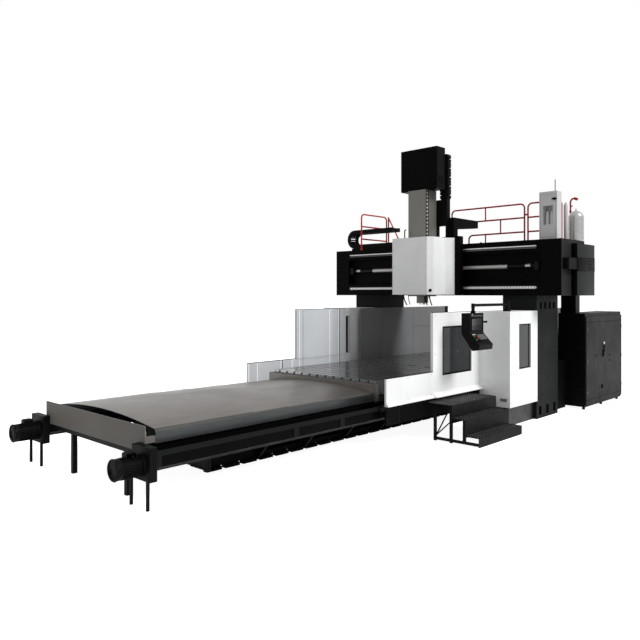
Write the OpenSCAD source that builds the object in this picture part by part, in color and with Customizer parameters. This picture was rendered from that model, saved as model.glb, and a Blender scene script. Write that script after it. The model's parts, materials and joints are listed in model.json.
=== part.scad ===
// Gantry machining center: a sliding table on a long bed, two columns that carry
// a fixed crossbeam, and a saddle with a vertical ram that runs along the beam.
// The origin is on the floor under the spindle, on the centreline of the bed.
// +X runs along the bed to the rear, -Y is the operator's side, +Z is up.
// All sizes are in millimetres.

/* [Bed] */
// Length of the bed casting
bed_l = 11980; // [11000:10:12600]
// Width of the bed at its foot
bed_foot_w = 1410; // [1200:10:1600]
// Width of the bed's upper flange
bed_top_w = 2240; // [2000:10:2300]
// Height of the bed's top face
bed_top_z = 560; // [520:5:580]
// Thickness of the bed's upper flange
bed_flange_t = 130; // [90:5:180]
// Height of the levelling pads under the bed
pad_h = 45; // [30:1:70]
// Radius of a levelling pad
pad_r = 70; // [40:1:100]
// Spacing of the bed's ribs
rib_pitch = 920; // [700:10:1100]
// Thickness of a bed rib
rib_t = 50; // [30:1:90]
// Width of a slideway on the bed
way_w = 200; // [120:5:260]
// Height of a slideway above the bed
way_h = 62; // [40:1:70]
// Distance of each outer slideway from the centreline
way_y = 800; // [700:10:900]

/* [Table] */
// Length of the table
table_l = 5000; // [4000:10:5200]
// Distance the table reaches past the bed's flange on each side
table_overhang = 80; // [60:5:100]
// Thickness of the table plate
table_t = 222; // [180:1:240]
// Height of the table's top face
table_top_z = 960; // [950:1:980]
// Place of the table's front end along the bed
table_front_x = -3010; // [-3200:10:-2800]
// Number of T-slots
slot_count = 12; // [8:1:13]
// Spacing of the T-slots
slot_pitch = 190; // [150:5:200]
// Width of a T-slot's mouth
slot_w = 28; // [18:1:36]
// Depth of a T-slot
slot_depth = 38; // [36:1:48]
// Width of a T-slot's foot
tee_w = 50; // [40:1:70]
// Height of a T-slot's foot
tee_h = 20; // [12:1:24]
// Running gap between sliding faces
run_gap = 0.3; // [0.2:0.1:0.5]
// Depth of the coolant gutter on each end of the table
gutter_d = 70; // [50:1:90]
// Distance the gutter reaches past the table's sides
gutter_overhang = 55; // [30:1:60]
// Wall of the coolant gutter
gutter_wall = 10; // [6:1:16]
// Radius of the round T-nut pockets
pocket_r = 75; // [40:1:85]

/* [Way covers] */
// Distance the widest cover section reaches past the bed's flange on each side
cover_overhang = 122; // [105:1:125]
// Height of the widest cover section at its crown
cover_crown_z = 897; // [890:1:905]
// Radius of the arched roof of a cover section
cover_r = 8450; // [7500:50:10000]
// Radius of the rounded shoulders
cover_edge_r = 52; // [48:1:60]
// Height of the lower edge of the skirts
cover_skirt_z = 646; // [636:1:660]
// Sheet thickness of a cover section
cover_sheet = 4; // [3:0.5:5]
// Step from one cover section to the next
cover_step = 8; // [7:0.5:9]
// Length of one cover section
cover_l = 1480; // [1460:10:1500]
// Length of the wiper strip inside a section's mouth
wiper_l = 24; // [12:1:40]

/* [Bed ends] */
// Distance from the bed's front end to the front end plate
front_reach = 1205; // [900:5:1300]
// Distance from the bed's rear end to the rear end plate
rear_reach = 700; // [600:5:800]
// Distance an end plate reaches past the widest cover on each side
end_plate_overhang = 27; // [20:1:60]
// Height of the lower edge of an end plate
end_plate_z0 = 569; // [500:1:600]
// Height of the upper edge of an end plate
end_plate_z1 = 867; // [800:1:880]
// Thickness of an end plate
end_plate_t = 12; // [8:1:20]
// Side of a square leg under an end plate
end_leg = 60; // [40:1:80]
// Gap between an end plate and the first cover section
cover_gap = 145; // [100:5:180]

/* [Chip troughs] */
// Gap between the bed's flange and a trough
trough_gap = 70; // [55:1:75]
// Height of the screw axis
trough_axis_z = 468; // [460:1:480]
// Half width of the trough at its rim
trough_r = 150; // [130:1:160]
// Outer radius of the trough's round bottom
trough_bottom_r = 100; // [80:1:120]
// Distance the straight walls go down past the screw's axis
trough_drop = 28; // [10:1:40]
// Sheet thickness of the trough
trough_sheet = 6; // [3:0.5:8]
// Height of the trough's rim
trough_rim_z = 625; // [615:1:626]
// Height of the band along the outer rim
rim_band_h = 60; // [40:1:80]
// Thickness of the band along the outer rim
rim_band_t = 12; // [6:1:16]
// Width of a bracket that carries the trough
bracket_w = 95; // [60:1:120]
// Radius of the screw's shaft
auger_shaft_r = 30; // [20:1:40]
// Length of the screw conveyor's gearbox
gearbox_l = 94; // [70:1:120]
// Radius of the conveyor motor
motor_r = 107; // [80:1:120]
// Length of the conveyor motor
motor_l = 335; // [250:5:400]

/* [Guards] */
// Gap between a trough's band and the guards
guard_gap = 98; // [80:1:110]
// Thickness of a guard panel
guard_t = 36; // [24:1:50]
// Place of the low guards' front end
low_guard_x0 = -3300; // [-3400:10:-3200]
// Place where the low guards meet the tall ones
tall_guard_x0 = -2053; // [-2150:1:-1950]
// Height of the guards' lower edge
guard_z0 = 634; // [630:1:650]
// Height of the low guards' top
low_guard_z1 = 1056; // [960:1:1150]
// Height of the tall guards' top
tall_guard_z1 = 2036; // [1900:1:2100]
// Lower edge of the guard window
guard_win_z0 = 996; // [900:1:1100]
// Upper edge of the guard window
guard_win_z1 = 1785; // [1600:1:1850]
// Front edge of the guard window
guard_win_x0 = -1755; // [-1850:1:-1650]
// Rear edge of the guard window
guard_win_x1 = -861; // [-950:1:-750]
// Height a post stands proud of the guard panels
post_proud = 12; // [6:1:20]
// Front end of the grey inner walls
inner_wall_x0 = -180; // [-260:5:-100]
// Rear end of the grey inner walls
inner_wall_x1 = 3160; // [2800:10:3300]
// Length of the end post behind each inner wall
wall_post_l = 150; // [100:5:200]
// Thickness of a pane of glass
glass_t = 8; // [6:1:12]

/* [Column housings] */
// Front face of the white housing before each column
housing_x0 = -560; // [-620:1:-500]
// Depth of the housing across the bed
housing_d = 599; // [580:1:640]
// Lower edge of the housing
housing_z0 = 342; // [300:1:400]
// Top of the housing
housing_z1 = 2037; // [1950:1:2100]
// Depth of the window recess in the housing
housing_recess = 30; // [15:1:50]

/* [Columns] */
// Front face of the columns
column_x0 = 513; // [500:1:530]
// Depth of a column along the bed
column_d = 923; // [850:1:980]
// Gap between a trough's band and a column
column_gap = 25; // [15:1:40]
// Width of a column across the bed
column_w = 691; // [640:1:705]
// Width of the anchor pockets at the foot of a column
anchor_w = 110; // [80:1:130]
// Height of the anchor pockets
anchor_h = 170; // [120:1:220]
// Depth of the anchor pockets
anchor_d = 140; // [100:1:180]
// Radius of an anchor bolt hole
anchor_r = 22; // [14:0.5:30]

/* [Crossbeam] */
// Front face of the crossbeam
beam_x0 = 402; // [395:1:410]
// Depth of the crossbeam along the bed
beam_d = 1034; // [950:1:1100]
// Distance the crossbeam reaches past each column
beam_overhang = 524; // [440:1:600]
// Height of the crossbeam's lower face
beam_z0 = 2317; // [2300:1:2320]
// Height of the crossbeam
beam_h = 1041; // [950:1:1100]
// Distance from the beam's end to the recess between the rails
recess_end = 392; // [340:1:440]
// Depth of the recess between the rails
recess_d = 120; // [80:1:160]
// Height of the lower rail's axis
rail_z_low = 2470; // [2440:1:2500]
// Height of the upper rail's axis
rail_z_high = 3225; // [3180:1:3250]
// Width of a rail
rail_w = 65; // [45:1:85]
// Height of a rail above the beam's face
rail_h = 50; // [35:1:60]
// Distance from the recess's end to a rail's end
rail_end = 75; // [40:1:120]
// Radius of the cross-feed screw
screw_r = 40; // [25:1:50]

/* [Saddle and head] */
// Half width of the saddle plate
saddle_y1 = 750; // [650:1:850]
// Lower edge of the saddle plate
saddle_z0 = 2335; // [2325:1:2400]
// Upper edge of the saddle plate
saddle_z1 = 3505; // [3460:1:3540]
// Thickness of the saddle plate
saddle_t = 140; // [100:1:180]
// Half width of the head cover
head_y1 = 505; // [460:1:560]
// Front face of the head cover
head_x0 = -442; // [-480:1:-400]
// Lower edge of the head cover
head_z0 = 2333; // [2320:1:2360]
// Top of the head cover
head_z1 = 3475; // [3400:1:3480]
// Chamfer on the cover's front corners
head_chamfer = 95; // [50:1:130]
// Length of the cover's sides that flare out towards the saddle plate
flare_l = 158; // [80:1:200]
// Distance each side flares out
flare_w = 135; // [60:1:150]
// Sheet thickness of the head cover
head_sheet = 6; // [4:0.5:8]

/* [Ram and spindle] */
// Half width of the ram along the bed
ram_x1 = 192; // [150:1:220]
// Half width of the ram across the bed
ram_y1 = 213; // [180:1:240]
// Lower end of the ram
ram_z0 = 2300; // [2260:1:2330]
// Upper end of the ram
ram_z1 = 4452; // [4445:1:4600]
// Clearance round the ram in the saddle's bore
ram_clear = 8; // [6:1:14]
// Radius of the spindle housing
spindle_r = 118; // [90:1:140]
// Length of the spindle housing under the ram
spindle_housing_l = 135; // [100:1:160]
// Height of the spindle's nose
nose_z = 2130; // [2110:1:2150]
// Radius of the spindle's shaft inside its housing
shaft_r = 50; // [45:1:55]
// Radius of the spindle's nose
nose_r = 64; // [52:1:80]
// Radius of the spindle's bore
spindle_bore_r = 34.925; // [20:0.005:40]
// Depth of the spindle's bore
spindle_bore_l = 70; // [50:1:76]
// Half width of the motor box on the ram
top_box_y1 = 440; // [380:1:480]
// Height of the motor box on the ram
top_box_h = 847; // [700:1:900]

/* [Chain tower] */
// Place of the tower's front face
tower_x0 = 215; // [205:1:230]
// Depth of the tower along the bed
tower_d = 110; // [90:1:130]
// Distance of the tower's near face from the centreline
tower_y1 = 455; // [420:1:490]
// Height of the tower's legs
tower_leg_h = 231; // [180:1:280]
// Width of the tower's block
tower_block_w = 290; // [240:1:320]
// Height of the tower's block
tower_block_h = 532; // [450:1:600]
// Height of the energy chain above the block
tower_chain_h = 920; // [800:10:1000]
// Pitch of the energy chain's links
tower_link_l = 92; // [80:1:110]
// Reach of the saddle's bracket over the beam
bracket_reach = 760; // [650:1:850]
// Height of the bracket's far end above the beam
bracket_rise = 374; // [330:1:420]
// Depth of the bracket's far end
bracket_h = 155; // [120:1:190]

/* [Beam end] */
// Height of the duct's lower face above the beam's lower face
duct_rise = 484; // [420:1:540]
// Height of the duct past the near end of the beam
duct_h = 208; // [160:1:250]
// Width of the duct
duct_w = 110; // [80:1:130]
// Length of the cooling unit behind the beam
cooler_l = 504; // [420:1:560]
// Width of the cooling unit
cooler_w = 900; // [800:1:1000]
// Height of the cooling unit
cooler_h = 951; // [850:1:1000]
// Depth of the cable riser along the bed
riser_d = 192; // [140:1:210]
// Width of the cable riser
riser_w = 311; // [240:1:320]

/* [Beam top] */
// Outer radius of the cable chain's loop
chain_r = 214; // [160:1:240]
// Height of a chain link
chain_h = 90; // [60:1:110]
// Width of the beam's cable chain
chain_w = 300; // [200:5:340]
// Distance from the beam's end to the chain's loop
chain_inset = 212; // [150:2:300]
// Length of the chain's upper run
chain_l = 1110; // [900:10:1300]
// Length of one chain link
link_l = 76; // [60:1:100]
// Radius of the handrail pipe
pipe_r = 17; // [13:0.5:24]
// Height of the handrail above the beam
handrail_h = 830; // [700:1:1000]
// Distance from the beam's end to the far handrail
handrail_inset = 752; // [650:2:850]
// Far end of the rear rail's first panel, from the centreline
rear_rail_y = 172; // [100:2:300]
// Length of the rear rail's first panel
rear_rail_l = 1716; // [1500:2:1900]
// Gap between two posts that a clamp joins
post_gap = 75; // [50:1:100]
// Radius of the gas bottle
bottle_r = 146; // [110:1:160]
// Height of the gas bottle
bottle_h = 660; // [560:5:760]

/* [Electrical cabinet] */
// Front end of the electrical cabinet
ecab_x0 = 2080; // [2000:10:2200]
// Length of the electrical cabinet
ecab_l = 2007; // [1800:1:2100]
// Depth of the electrical cabinet
ecab_d = 578; // [500:1:640]
// Gap between a column's inner face and the electrical cabinet's back
ecab_gap = 421; // [380:1:460]
// Height of the electrical cabinet's top
ecab_z1 = 1948; // [1800:1:2050]
// Height of the cabinet's feet
ecab_foot_h = 60; // [30:1:90]
// Thickness of a cabinet door
door_t = 26; // [20:1:36]

/* [Operator steps] */
// Front end of the steps
steps_x0 = -2291; // [-2400:10:-2200]
// Length of the steps
steps_l = 1397; // [1200:1:1500]
// Height of the platform
platform_z = 592; // [560:1:630]
// Gap between the guards and the platform's back legs
step_gap = 169; // [130:1:200]
// Distance from the platform's back legs to its front edge
platform_d = 345; // [300:1:400]
// Going of the two lower treads
tread_going = 238; // [220:1:280]
// Sheet thickness of the steps
step_sheet = 8; // [5:1:12]

/* [Control pendant] */
// Place of the pendant's pivot along the bed
pivot_x = -372; // [-420:1:-320]
// Distance of the pendant's pivot from the housing's outer face
pivot_inset = 155; // [120:1:185]
// Reach of the pendant's arm
arm_l = 1168; // [1000:1:1300]
// Width of the control console
console_w = 430; // [320:1:480]

/* [Hidden] */
// Smoothness of round faces
$fn = 48;
// Smoothness of the wide cover arc
arc_fn = 720;
// Small overlap that makes cuts pass clean through
cut = 1;
// Number of sections in each telescopic cover
cover_count = 5;

bed_x1 = bed_l / 2;
bed_x0 = -bed_x1;
// Widths that follow the bed's flange, from the table out to the housings
table_w = bed_top_w + 2 * table_overhang;
cover_w = bed_top_w + 2 * cover_overhang;
end_plate_w = cover_w + 2 * end_plate_overhang;
trough_y = bed_top_w / 2 + trough_gap + trough_r;
trough_out_y = trough_y + trough_r + rim_band_t;
guard_y = trough_out_y + guard_gap + guard_t;
housing_y1 = guard_y + housing_d;
column_y0 = trough_out_y + column_gap;
column_y1 = column_y0 + column_w;
beam_y1 = column_y1 + beam_overhang;
recess_y1 = beam_y1 - recess_end;
rail_y1 = recess_y1 - rail_end;
chain_y1 = beam_y1 - chain_inset;
handrail_y1 = beam_y1 - handrail_inset;
ecab_back_y = column_y0 + ecab_gap;
platform_y0 = guard_y + step_gap;
platform_y1 = platform_y0 + platform_d;
pivot_y = housing_y1 - pivot_inset;
front_plate_x = bed_x0 - front_reach;
rear_plate_x = bed_x1 + rear_reach;
table_rear_x = table_front_x + table_l;
way_top_z = bed_top_z + way_h;
table_under_z = table_top_z - table_t;
beam_x1 = beam_x0 + beam_d;
beam_z1 = beam_z0 + beam_h;
column_x1 = column_x0 + column_d;
ecab_x1 = ecab_x0 + ecab_l;
ecab_front_y = ecab_back_y + ecab_d;
ecab_z0 = ecab_foot_h;
rail_face_x = beam_x0 - rail_h;
saddle_x1 = rail_face_x - 14;
saddle_x0 = saddle_x1 - saddle_t;
top_box_z1 = ram_z1 + top_box_h;
pivot_z = housing_z1 + 123;
// Top of the console
console_z1 = pivot_z - 130;
console_x = pivot_x - arm_l;
spindle_housing_z0 = ram_z0 - spindle_housing_l;
gutter_top_z = table_top_z - slot_depth - 12;

// A block between two corners
module block(lo, hi) {
  translate(lo) cube(hi - lo);
}

// The same shape on both sides of the bed's centreline
module both_sides() {
  children();
  mirror([0, 1, 0]) children();
}

// An outline in Y and Z drawn along X
module along_x(x0, x1) {
  translate([x0, 0, 0])
    rotate([90, 0, 90])
      linear_extrude(x1 - x0) children();
}

// An outline in X and Z drawn along Y
module along_y(y0, y1) {
  translate([0, y1, 0])
    rotate([90, 0, 0])
      linear_extrude(y1 - y0) children();
}

// A rod between two points on a line parallel to X
module rod_x(x0, x1, y, z, r) {
  translate([x0, y, z]) rotate([0, 90, 0]) cylinder(r = r, h = x1 - x0);
}

// A rod between two points on a line parallel to Y
module rod_y(x, y0, y1, z, r) {
  translate([x, y1, z]) rotate([90, 0, 0]) cylinder(r = r, h = y1 - y0);
}

rib_count = floor((bed_l - 2 * rib_t) / rib_pitch);
rib_span = (rib_count - 1) * rib_pitch;
rib_xs = [for (i = [0 : rib_count - 1]) -rib_span / 2 + i * rib_pitch];
rib_foot_z = 110;
web_w = 260;

module bed() color("dimgray") {
  under_z = bed_top_z - bed_flange_t;
  difference() {
    along_x(bed_x0, bed_x1)
      polygon([
        [-bed_foot_w / 2, pad_h], [bed_foot_w / 2, pad_h],
        [bed_foot_w / 2, under_z - 90], [bed_top_w / 2, under_z],
        [bed_top_w / 2, bed_top_z], [-bed_top_w / 2, bed_top_z],
        [-bed_top_w / 2, under_z], [-bed_foot_w / 2, under_z - 90]
      ]);
    for (i = [0 : rib_count - 2])
      both_sides()
        block(
          [rib_xs[i] + rib_t / 2 + 60, -bed_foot_w / 2 - cut, rib_foot_z],
          [rib_xs[i + 1] - rib_t / 2 - 60, -bed_foot_w / 2 + web_w / 2, under_z - 110]
        );
  }
  for (x = rib_xs)
    along_x(x - rib_t / 2, x + rib_t / 2)
      polygon([
        [-bed_foot_w / 2 - 40, pad_h], [bed_foot_w / 2 + 40, pad_h],
        [bed_top_w / 2 - 20, under_z + 10], [-bed_top_w / 2 + 20, under_z + 10]
      ]);
  both_sides() {
    block([bed_x0, way_y - way_w / 2, bed_top_z], [bed_x1, way_y + way_w / 2, way_top_z]);
    for (x = rib_xs)
      translate([x, bed_foot_w / 2 - pad_r - 20, 0]) cylinder(r = pad_r, h = pad_h);
  }
  for (i = [-2 : 2])
    translate([2 * i * rib_pitch, 0, 0]) cylinder(r = pad_r, h = pad_h);
  block([bed_x0, -way_w / 2, bed_top_z], [bed_x1, way_w / 2, way_top_z]);
}

// Outline of one trough about its screw axis, set in by inset; its walls go past the rim by extra
module trough_outline(inset, extra) {
  r = trough_bottom_r - inset;
  w = trough_r - inset;
  h = trough_rim_z - trough_axis_z + extra;
  // The slope runs into the round bottom at this angle
  a = atan2(-trough_drop, w) - acos(r / norm([w, trough_drop]));
  foot = 0.94 * r * [cos(a), sin(a)];
  circle(r);
  polygon([
    [w, h], [w, -trough_drop], foot, [-foot[0], foot[1]], [-w, -trough_drop], [-w, h]
  ]);
}

flange_z0 = trough_axis_z - trough_drop;

module chip_troughs() color("gray") {
  both_sides() {
    along_x(front_plate_x, rear_plate_x)
      translate([trough_y, trough_axis_z])
        difference() {
          trough_outline(0, 0);
          trough_outline(trough_sheet, cut);
        }
    block(
      [front_plate_x, trough_y + trough_r - trough_sheet / 2, trough_rim_z - rim_band_h],
      [rear_plate_x, trough_out_y, trough_rim_z]
    );
    for (x = rib_xs) {
      // Strap down the outer wall and arm to the bed
      block(
        [x - bracket_w / 2, trough_y + trough_r - trough_sheet / 2, flange_z0 + 8],
        [x + bracket_w / 2, trough_out_y - 2, trough_rim_z - rim_band_h + 10]
      );
      block(
        [x - bracket_w / 2, bed_top_w / 2, trough_axis_z],
        [x + bracket_w / 2, trough_y - trough_r, trough_axis_z + 60]
      );
    }
    // Closed ends with the screw's bearing, and the upright that frames each end
    for (x = [front_plate_x, rear_plate_x - trough_sheet])
      along_x(x, x + trough_sheet)
        translate([trough_y, trough_axis_z])
          difference() {
            trough_outline(0, 0);
            circle(auger_shaft_r + run_gap);
          }
    for (x = [front_plate_x, rear_plate_x - end_leg])
      block(
        [x, trough_y + trough_r - trough_sheet / 2, flange_z0 + 8],
        [x + end_leg, trough_out_y, trough_rim_z - rim_band_h + 10]
      );
  }
}

// Gearbox height range and width about the screw axis
gear_z0 = 300;
gear_z1 = 676;
gear_w = 369;
thin_leg = 30;

module chip_conveyors() color("dimgray") {
  gear_x1 = front_plate_x - end_plate_t - run_gap;
  gear_x0 = gear_x1 - gearbox_l;
  both_sides() {
    block([gear_x0, trough_y - gear_w / 2, gear_z0], [gear_x1, trough_y + gear_w / 2, gear_z1]);
    rod_x(gear_x0 - 30, gear_x0, trough_y, trough_axis_z, motor_r + 22);
    rod_x(gear_x0 - motor_l, gear_x0 - 30, trough_y, trough_axis_z, motor_r);
    block(
      [gear_x0 - 200, trough_y - 50, trough_axis_z + motor_r - 12],
      [gear_x0 - 90, trough_y + 50, trough_axis_z + motor_r + 48]
    );
    for (y = [trough_y - gear_w / 2, trough_y + gear_w / 2 - thin_leg])
      block([gear_x0 - thin_leg, y, 0], [gear_x0, y + thin_leg, gear_z0 + 60]);
    rod_x(gear_x1 - cut, rear_plate_x + 30, trough_y, trough_axis_z, auger_shaft_r);
  }
}

cover_inner_y = cover_w / 2 - cover_sheet;
// Length of the brackets inside the first cover section
cover_lap = 45;

// One end of the bed: plate, legs and the two rails that reach it from the bed
module end_frame(reach) {
  plate_x = bed_x1 + reach;
  difference() {
    block(
      [plate_x, -end_plate_w / 2, end_plate_z0],
      [plate_x + end_plate_t, end_plate_w / 2, end_plate_z1]
    );
    for (side = [-1, 1])
      translate([plate_x - cut, side * (end_plate_w / 2 - 20) - 25, end_plate_z0 - cut])
        cube([end_plate_t + 2 * cut, 50, 40]);
  }
  // The cross bar laps over the lower edge of the plate
  bar_z0 = end_plate_z0 - 60;
  block([plate_x - end_leg, -1050, bar_z0], [plate_x, 1050, end_plate_z0 + 40]);
  for (y = [-830, 520])
    block([plate_x - end_leg, y - end_leg / 2, 0], [plate_x, y + end_leg / 2, bar_z0]);
  both_sides() {
    block([bed_x1, 880, bar_z0 - 40], [plate_x - end_leg, 940, end_plate_z0 - 10]);
    // Bracket that holds the first cover section by its inner wall
    block(
      [plate_x - cover_gap - cover_lap, cover_inner_y - end_leg, cover_skirt_z + 14],
      [plate_x, cover_inner_y, cover_skirt_z + 84]
    );
  }
}

module end_frames() color("gray") {
  end_frame(rear_reach);
  mirror([1, 0, 0]) end_frame(front_reach);
}

// Height of the centre of a shoulder's round
function shoulder_z(w, c, r, e) = c - r + sqrt(pow(r - e, 2) - pow(w - e, 2));

// Outline of the widest cover set in by inset, down to the height base
module cover_outline(inset, base) {
  w = cover_w / 2 - inset;
  c = cover_crown_z - inset;
  r = cover_r - inset;
  e = cover_edge_r - inset;
  zc = shoulder_z(w, c, r, e);
  join_y = (w - e) * r / (r - e);
  intersection() {
    translate([0, c - r]) circle(r, $fn = arc_fn);
    translate([-join_y, zc]) square([2 * join_y, c - zc + cut]);
  }
  translate([-w, base]) square([2 * w, zc - base]);
  for (side = [-1, 1])
    translate([side * (w - e), zc]) circle(e);
}

// Hollow outline between two insets of the widest cover
module cover_ring(outer, inner) {
  difference() {
    cover_outline(outer, cover_skirt_z);
    cover_outline(inner, cover_skirt_z - cut);
  }
}

// Cover section i of an end, from x0 towards the table; each slides inside the one before,
// and the mouth with the wiper faces the table
module cover_section(i, x0) {
  inset = (i - 1) * cover_step;
  x1 = x0 + cover_l;
  along_x(x0, x1) cover_ring(inset, inset + cover_sheet);
  // The wiper starts within the sheet's thickness and ends just short of the mouth
  if (i < cover_count)
    along_x(x1 - wiper_l, x1 - 2)
      cover_ring(inset + cover_sheet / 2, inset + cover_step - run_gap);
}

// Where section i of the front covers begins at rest
front_first_x = front_plate_x + cover_gap;
front_span = table_front_x - gutter_d - front_first_x;
function front_cover_x(i) =
  front_first_x + (i - 1) * (front_span - cover_l) / (cover_count - 1);
rear_first_x = rear_plate_x - cover_gap;
rear_span = rear_first_x - table_rear_x - gutter_d;
function rear_cover_x(i) =
  rear_first_x - (i - 1) * (rear_span - cover_l) / (cover_count - 1);

module front_cover(i) {
  color("tan") cover_section(i, front_cover_x(i));
}

module rear_cover(i) {
  color("tan") mirror([1, 0, 0]) cover_section(i, -rear_cover_x(i));
}

module front_cover_1() front_cover(1);
module front_cover_2() front_cover(2);
module front_cover_3() front_cover(3);
module front_cover_4() front_cover(4);
module front_cover_5() front_cover(5);
module rear_cover_1() rear_cover(1);
module rear_cover_2() rear_cover(2);
module rear_cover_3() rear_cover(3);
module rear_cover_4() rear_cover(4);
module rear_cover_5() rear_cover(5);

slot_ys = [for (i = [0 : slot_count - 1]) (i - (slot_count - 1) / 2) * slot_pitch];
// Round T-nut pockets open every second slot in two cross rows
pocket_xs = [table_front_x + table_l * 0.448, table_front_x + table_l * 0.842];

module table() color("darkgray") {
  skirt_y = bed_top_w / 2 + 12;
  difference() {
    along_x(table_front_x, table_rear_x)
      difference() {
        polygon([
          [-table_w / 2, table_under_z], [table_w / 2, table_under_z],
          [table_w / 2, table_top_z], [-table_w / 2, table_top_z]
        ]);
        for (y = slot_ys) {
          translate([y - slot_w / 2, table_top_z - slot_depth]) square([slot_w, slot_depth + cut]);
          translate([y - tee_w / 2, table_top_z - slot_depth]) square([tee_w, tee_h]);
        }
      }
    for (x = pocket_xs)
      for (i = [0 : 2 : slot_count - 1])
        translate([x, slot_ys[i], table_top_z - slot_depth])
          cylinder(r = pocket_r, h = slot_depth + cut);
  }
  both_sides() {
    block(
      [table_front_x, way_y - way_w / 2, way_top_z + run_gap],
      [table_rear_x, way_y + way_w / 2, table_under_z]
    );
    block([table_front_x, skirt_y, bed_top_z + 10], [table_rear_x, skirt_y + 20, table_under_z]);
  }
  block(
    [table_front_x, -way_w / 2, way_top_z + run_gap],
    [table_rear_x, way_w / 2, table_under_z]
  );
}

// Coolant gutters across both ends, under the open ends of the T-slots
module table_end_plates() color("gray") {
  half_w = table_w / 2 + gutter_overhang;
  for (x = [table_front_x - gutter_d, table_rear_x])
    difference() {
      block([x, -half_w, cover_skirt_z], [x + gutter_d, half_w, gutter_top_z]);
      block(
        [x + gutter_wall, -half_w + gutter_wall, gutter_top_z - 40],
        [x + gutter_d - gutter_wall, half_w - gutter_wall, gutter_top_z + cut]
      );
    }
}

skirt_z0 = 346;
guard_frame_x1 = column_x0 - run_gap;
guard_foot_l = 150;
wall_post_x1 = inner_wall_x1 + wall_post_l;
// Joints of the inner wall's sheets along the bed, and the seam of its rear sheets
wall_joint_xs = [inner_wall_x0, 536, 1781, inner_wall_x1];
wall_seam_z = 1565;
seam = 6;

// Grey inner wall between the bed and a column: backing sheet and its face sheets
module inner_wall() {
  face_y = trough_out_y + 7;
  block([inner_wall_x0, face_y, guard_z0], [inner_wall_x1, column_y0, tall_guard_z1]);
  for (i = [0 : 1])
    block(
      [wall_joint_xs[i] + seam * i, trough_out_y, guard_z0],
      [wall_joint_xs[i + 1], face_y, tall_guard_z1]
    );
  block([wall_joint_xs[2] + seam, trough_out_y, guard_z0], [inner_wall_x1, face_y, wall_seam_z]);
  block(
    [wall_joint_xs[2] + seam, trough_out_y, wall_seam_z + seam],
    [inner_wall_x1, face_y, tall_guard_z1]
  );
}

module guard_frames() color("dimgray") {
  both_sides() {
    // Rail and skirt under the guards, with a foot that reaches forward
    block([low_guard_x0, trough_out_y, guard_z0 - 70], [guard_frame_x1, guard_y - guard_t, guard_z0]);
    block([low_guard_x0, guard_y - guard_t, skirt_z0], [housing_x0, guard_y, guard_z0]);
    block(
      [low_guard_x0 - guard_foot_l, guard_y - guard_t, guard_z0 - 50],
      [low_guard_x0, guard_y, guard_z0]
    );
    inner_wall();
    // Rail, end post and leg behind the column
    block([column_x1, trough_out_y, guard_z0 - 70], [wall_post_x1, column_y0 + 60, guard_z0]);
    block([inner_wall_x1, trough_out_y, guard_z0], [wall_post_x1, column_y0 + 60, tall_guard_z1]);
    for (x = [column_x1 + 500, wall_post_x1 - 60])
      block([x, column_y0, 0], [x + 60, column_y0 + 60, guard_z0 - 70]);
  }
}

// Places of the posts along the low and the tall guards
low_post_xs = [[-3048, -2986], [-2430, -2373], [-2147, tall_guard_x0]];
tall_post_xs = [[tall_guard_x0, -1993], [-1866, -1806], [-1053, -993], [-757, -570]];

// One side's guards; only the near ones have a window
module guard_side(window) {
  inner_y = guard_y - guard_t;
  block([low_guard_x0, inner_y, guard_z0], [tall_guard_x0, guard_y, low_guard_z1]);
  for (p = low_post_xs)
    block([p[0], inner_y - post_proud, guard_z0], [p[1], inner_y, low_guard_z1]);
  // Narrow foot along the low guard
  along_x(low_guard_x0, tall_guard_x0)
    polygon([
      [guard_y, guard_z0], [guard_y + 40, guard_z0],
      [guard_y + 40, guard_z0 + 10], [guard_y, guard_z0 + 50]
    ]);
  // Tall panel and the sloped sill at its foot
  difference() {
    block([tall_guard_x0, inner_y, guard_z0], [housing_x0, guard_y, tall_guard_z1]);
    if (window)
      block(
        [guard_win_x0, inner_y - cut, guard_win_z0],
        [guard_win_x1, guard_y + cut, guard_win_z1]
      );
  }
  for (p = tall_post_xs)
    if (!window || p[1] < guard_win_x0 || p[0] > guard_win_x1)
      block([p[0], inner_y - post_proud, guard_z0], [p[1], inner_y, tall_guard_z1]);
  along_x(tall_guard_x0, housing_x0)
    polygon([
      [guard_y, guard_z0], [guard_y + 70, guard_z0],
      [guard_y + 70, guard_z0 + 12], [guard_y, guard_z0 + 75]
    ]);
}

module near_guard() color("white") mirror([0, 1, 0]) guard_side(true);
module far_guard() color("white") guard_side(false);

housing_win_x0 = -208;
housing_win_x1 = 223;
housing_win_z0 = 1008;
housing_win_z1 = 1799;
housing_x1 = column_x0 - run_gap;

// White housing before a column, on its black base
module housing() {
  difference() {
    block([housing_x0, guard_y, housing_z0], [housing_x1, housing_y1, housing_z1]);
    block(
      [housing_win_x0, housing_y1 - housing_recess, housing_win_z0],
      [housing_win_x1, housing_y1 + cut, housing_win_z1]
    );
    block([housing_x0 - cut, housing_y1 - 190, 440], [housing_x0 + 20, housing_y1 - 60, 500]);
  }
  block([housing_x0 + 110, guard_y + 40, 0], [housing_x1, housing_y1 - 80, housing_z0]);
}

module near_housing() color("white") mirror([0, 1, 0]) housing();
module far_housing() color("white") housing();

// Narrow pane on the inner face of the far housing
slit_x0 = housing_x0 + 8;
slit_x1 = slit_x0 + 97;
slit_z0 = 1089;
slit_z1 = 1866;

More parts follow.
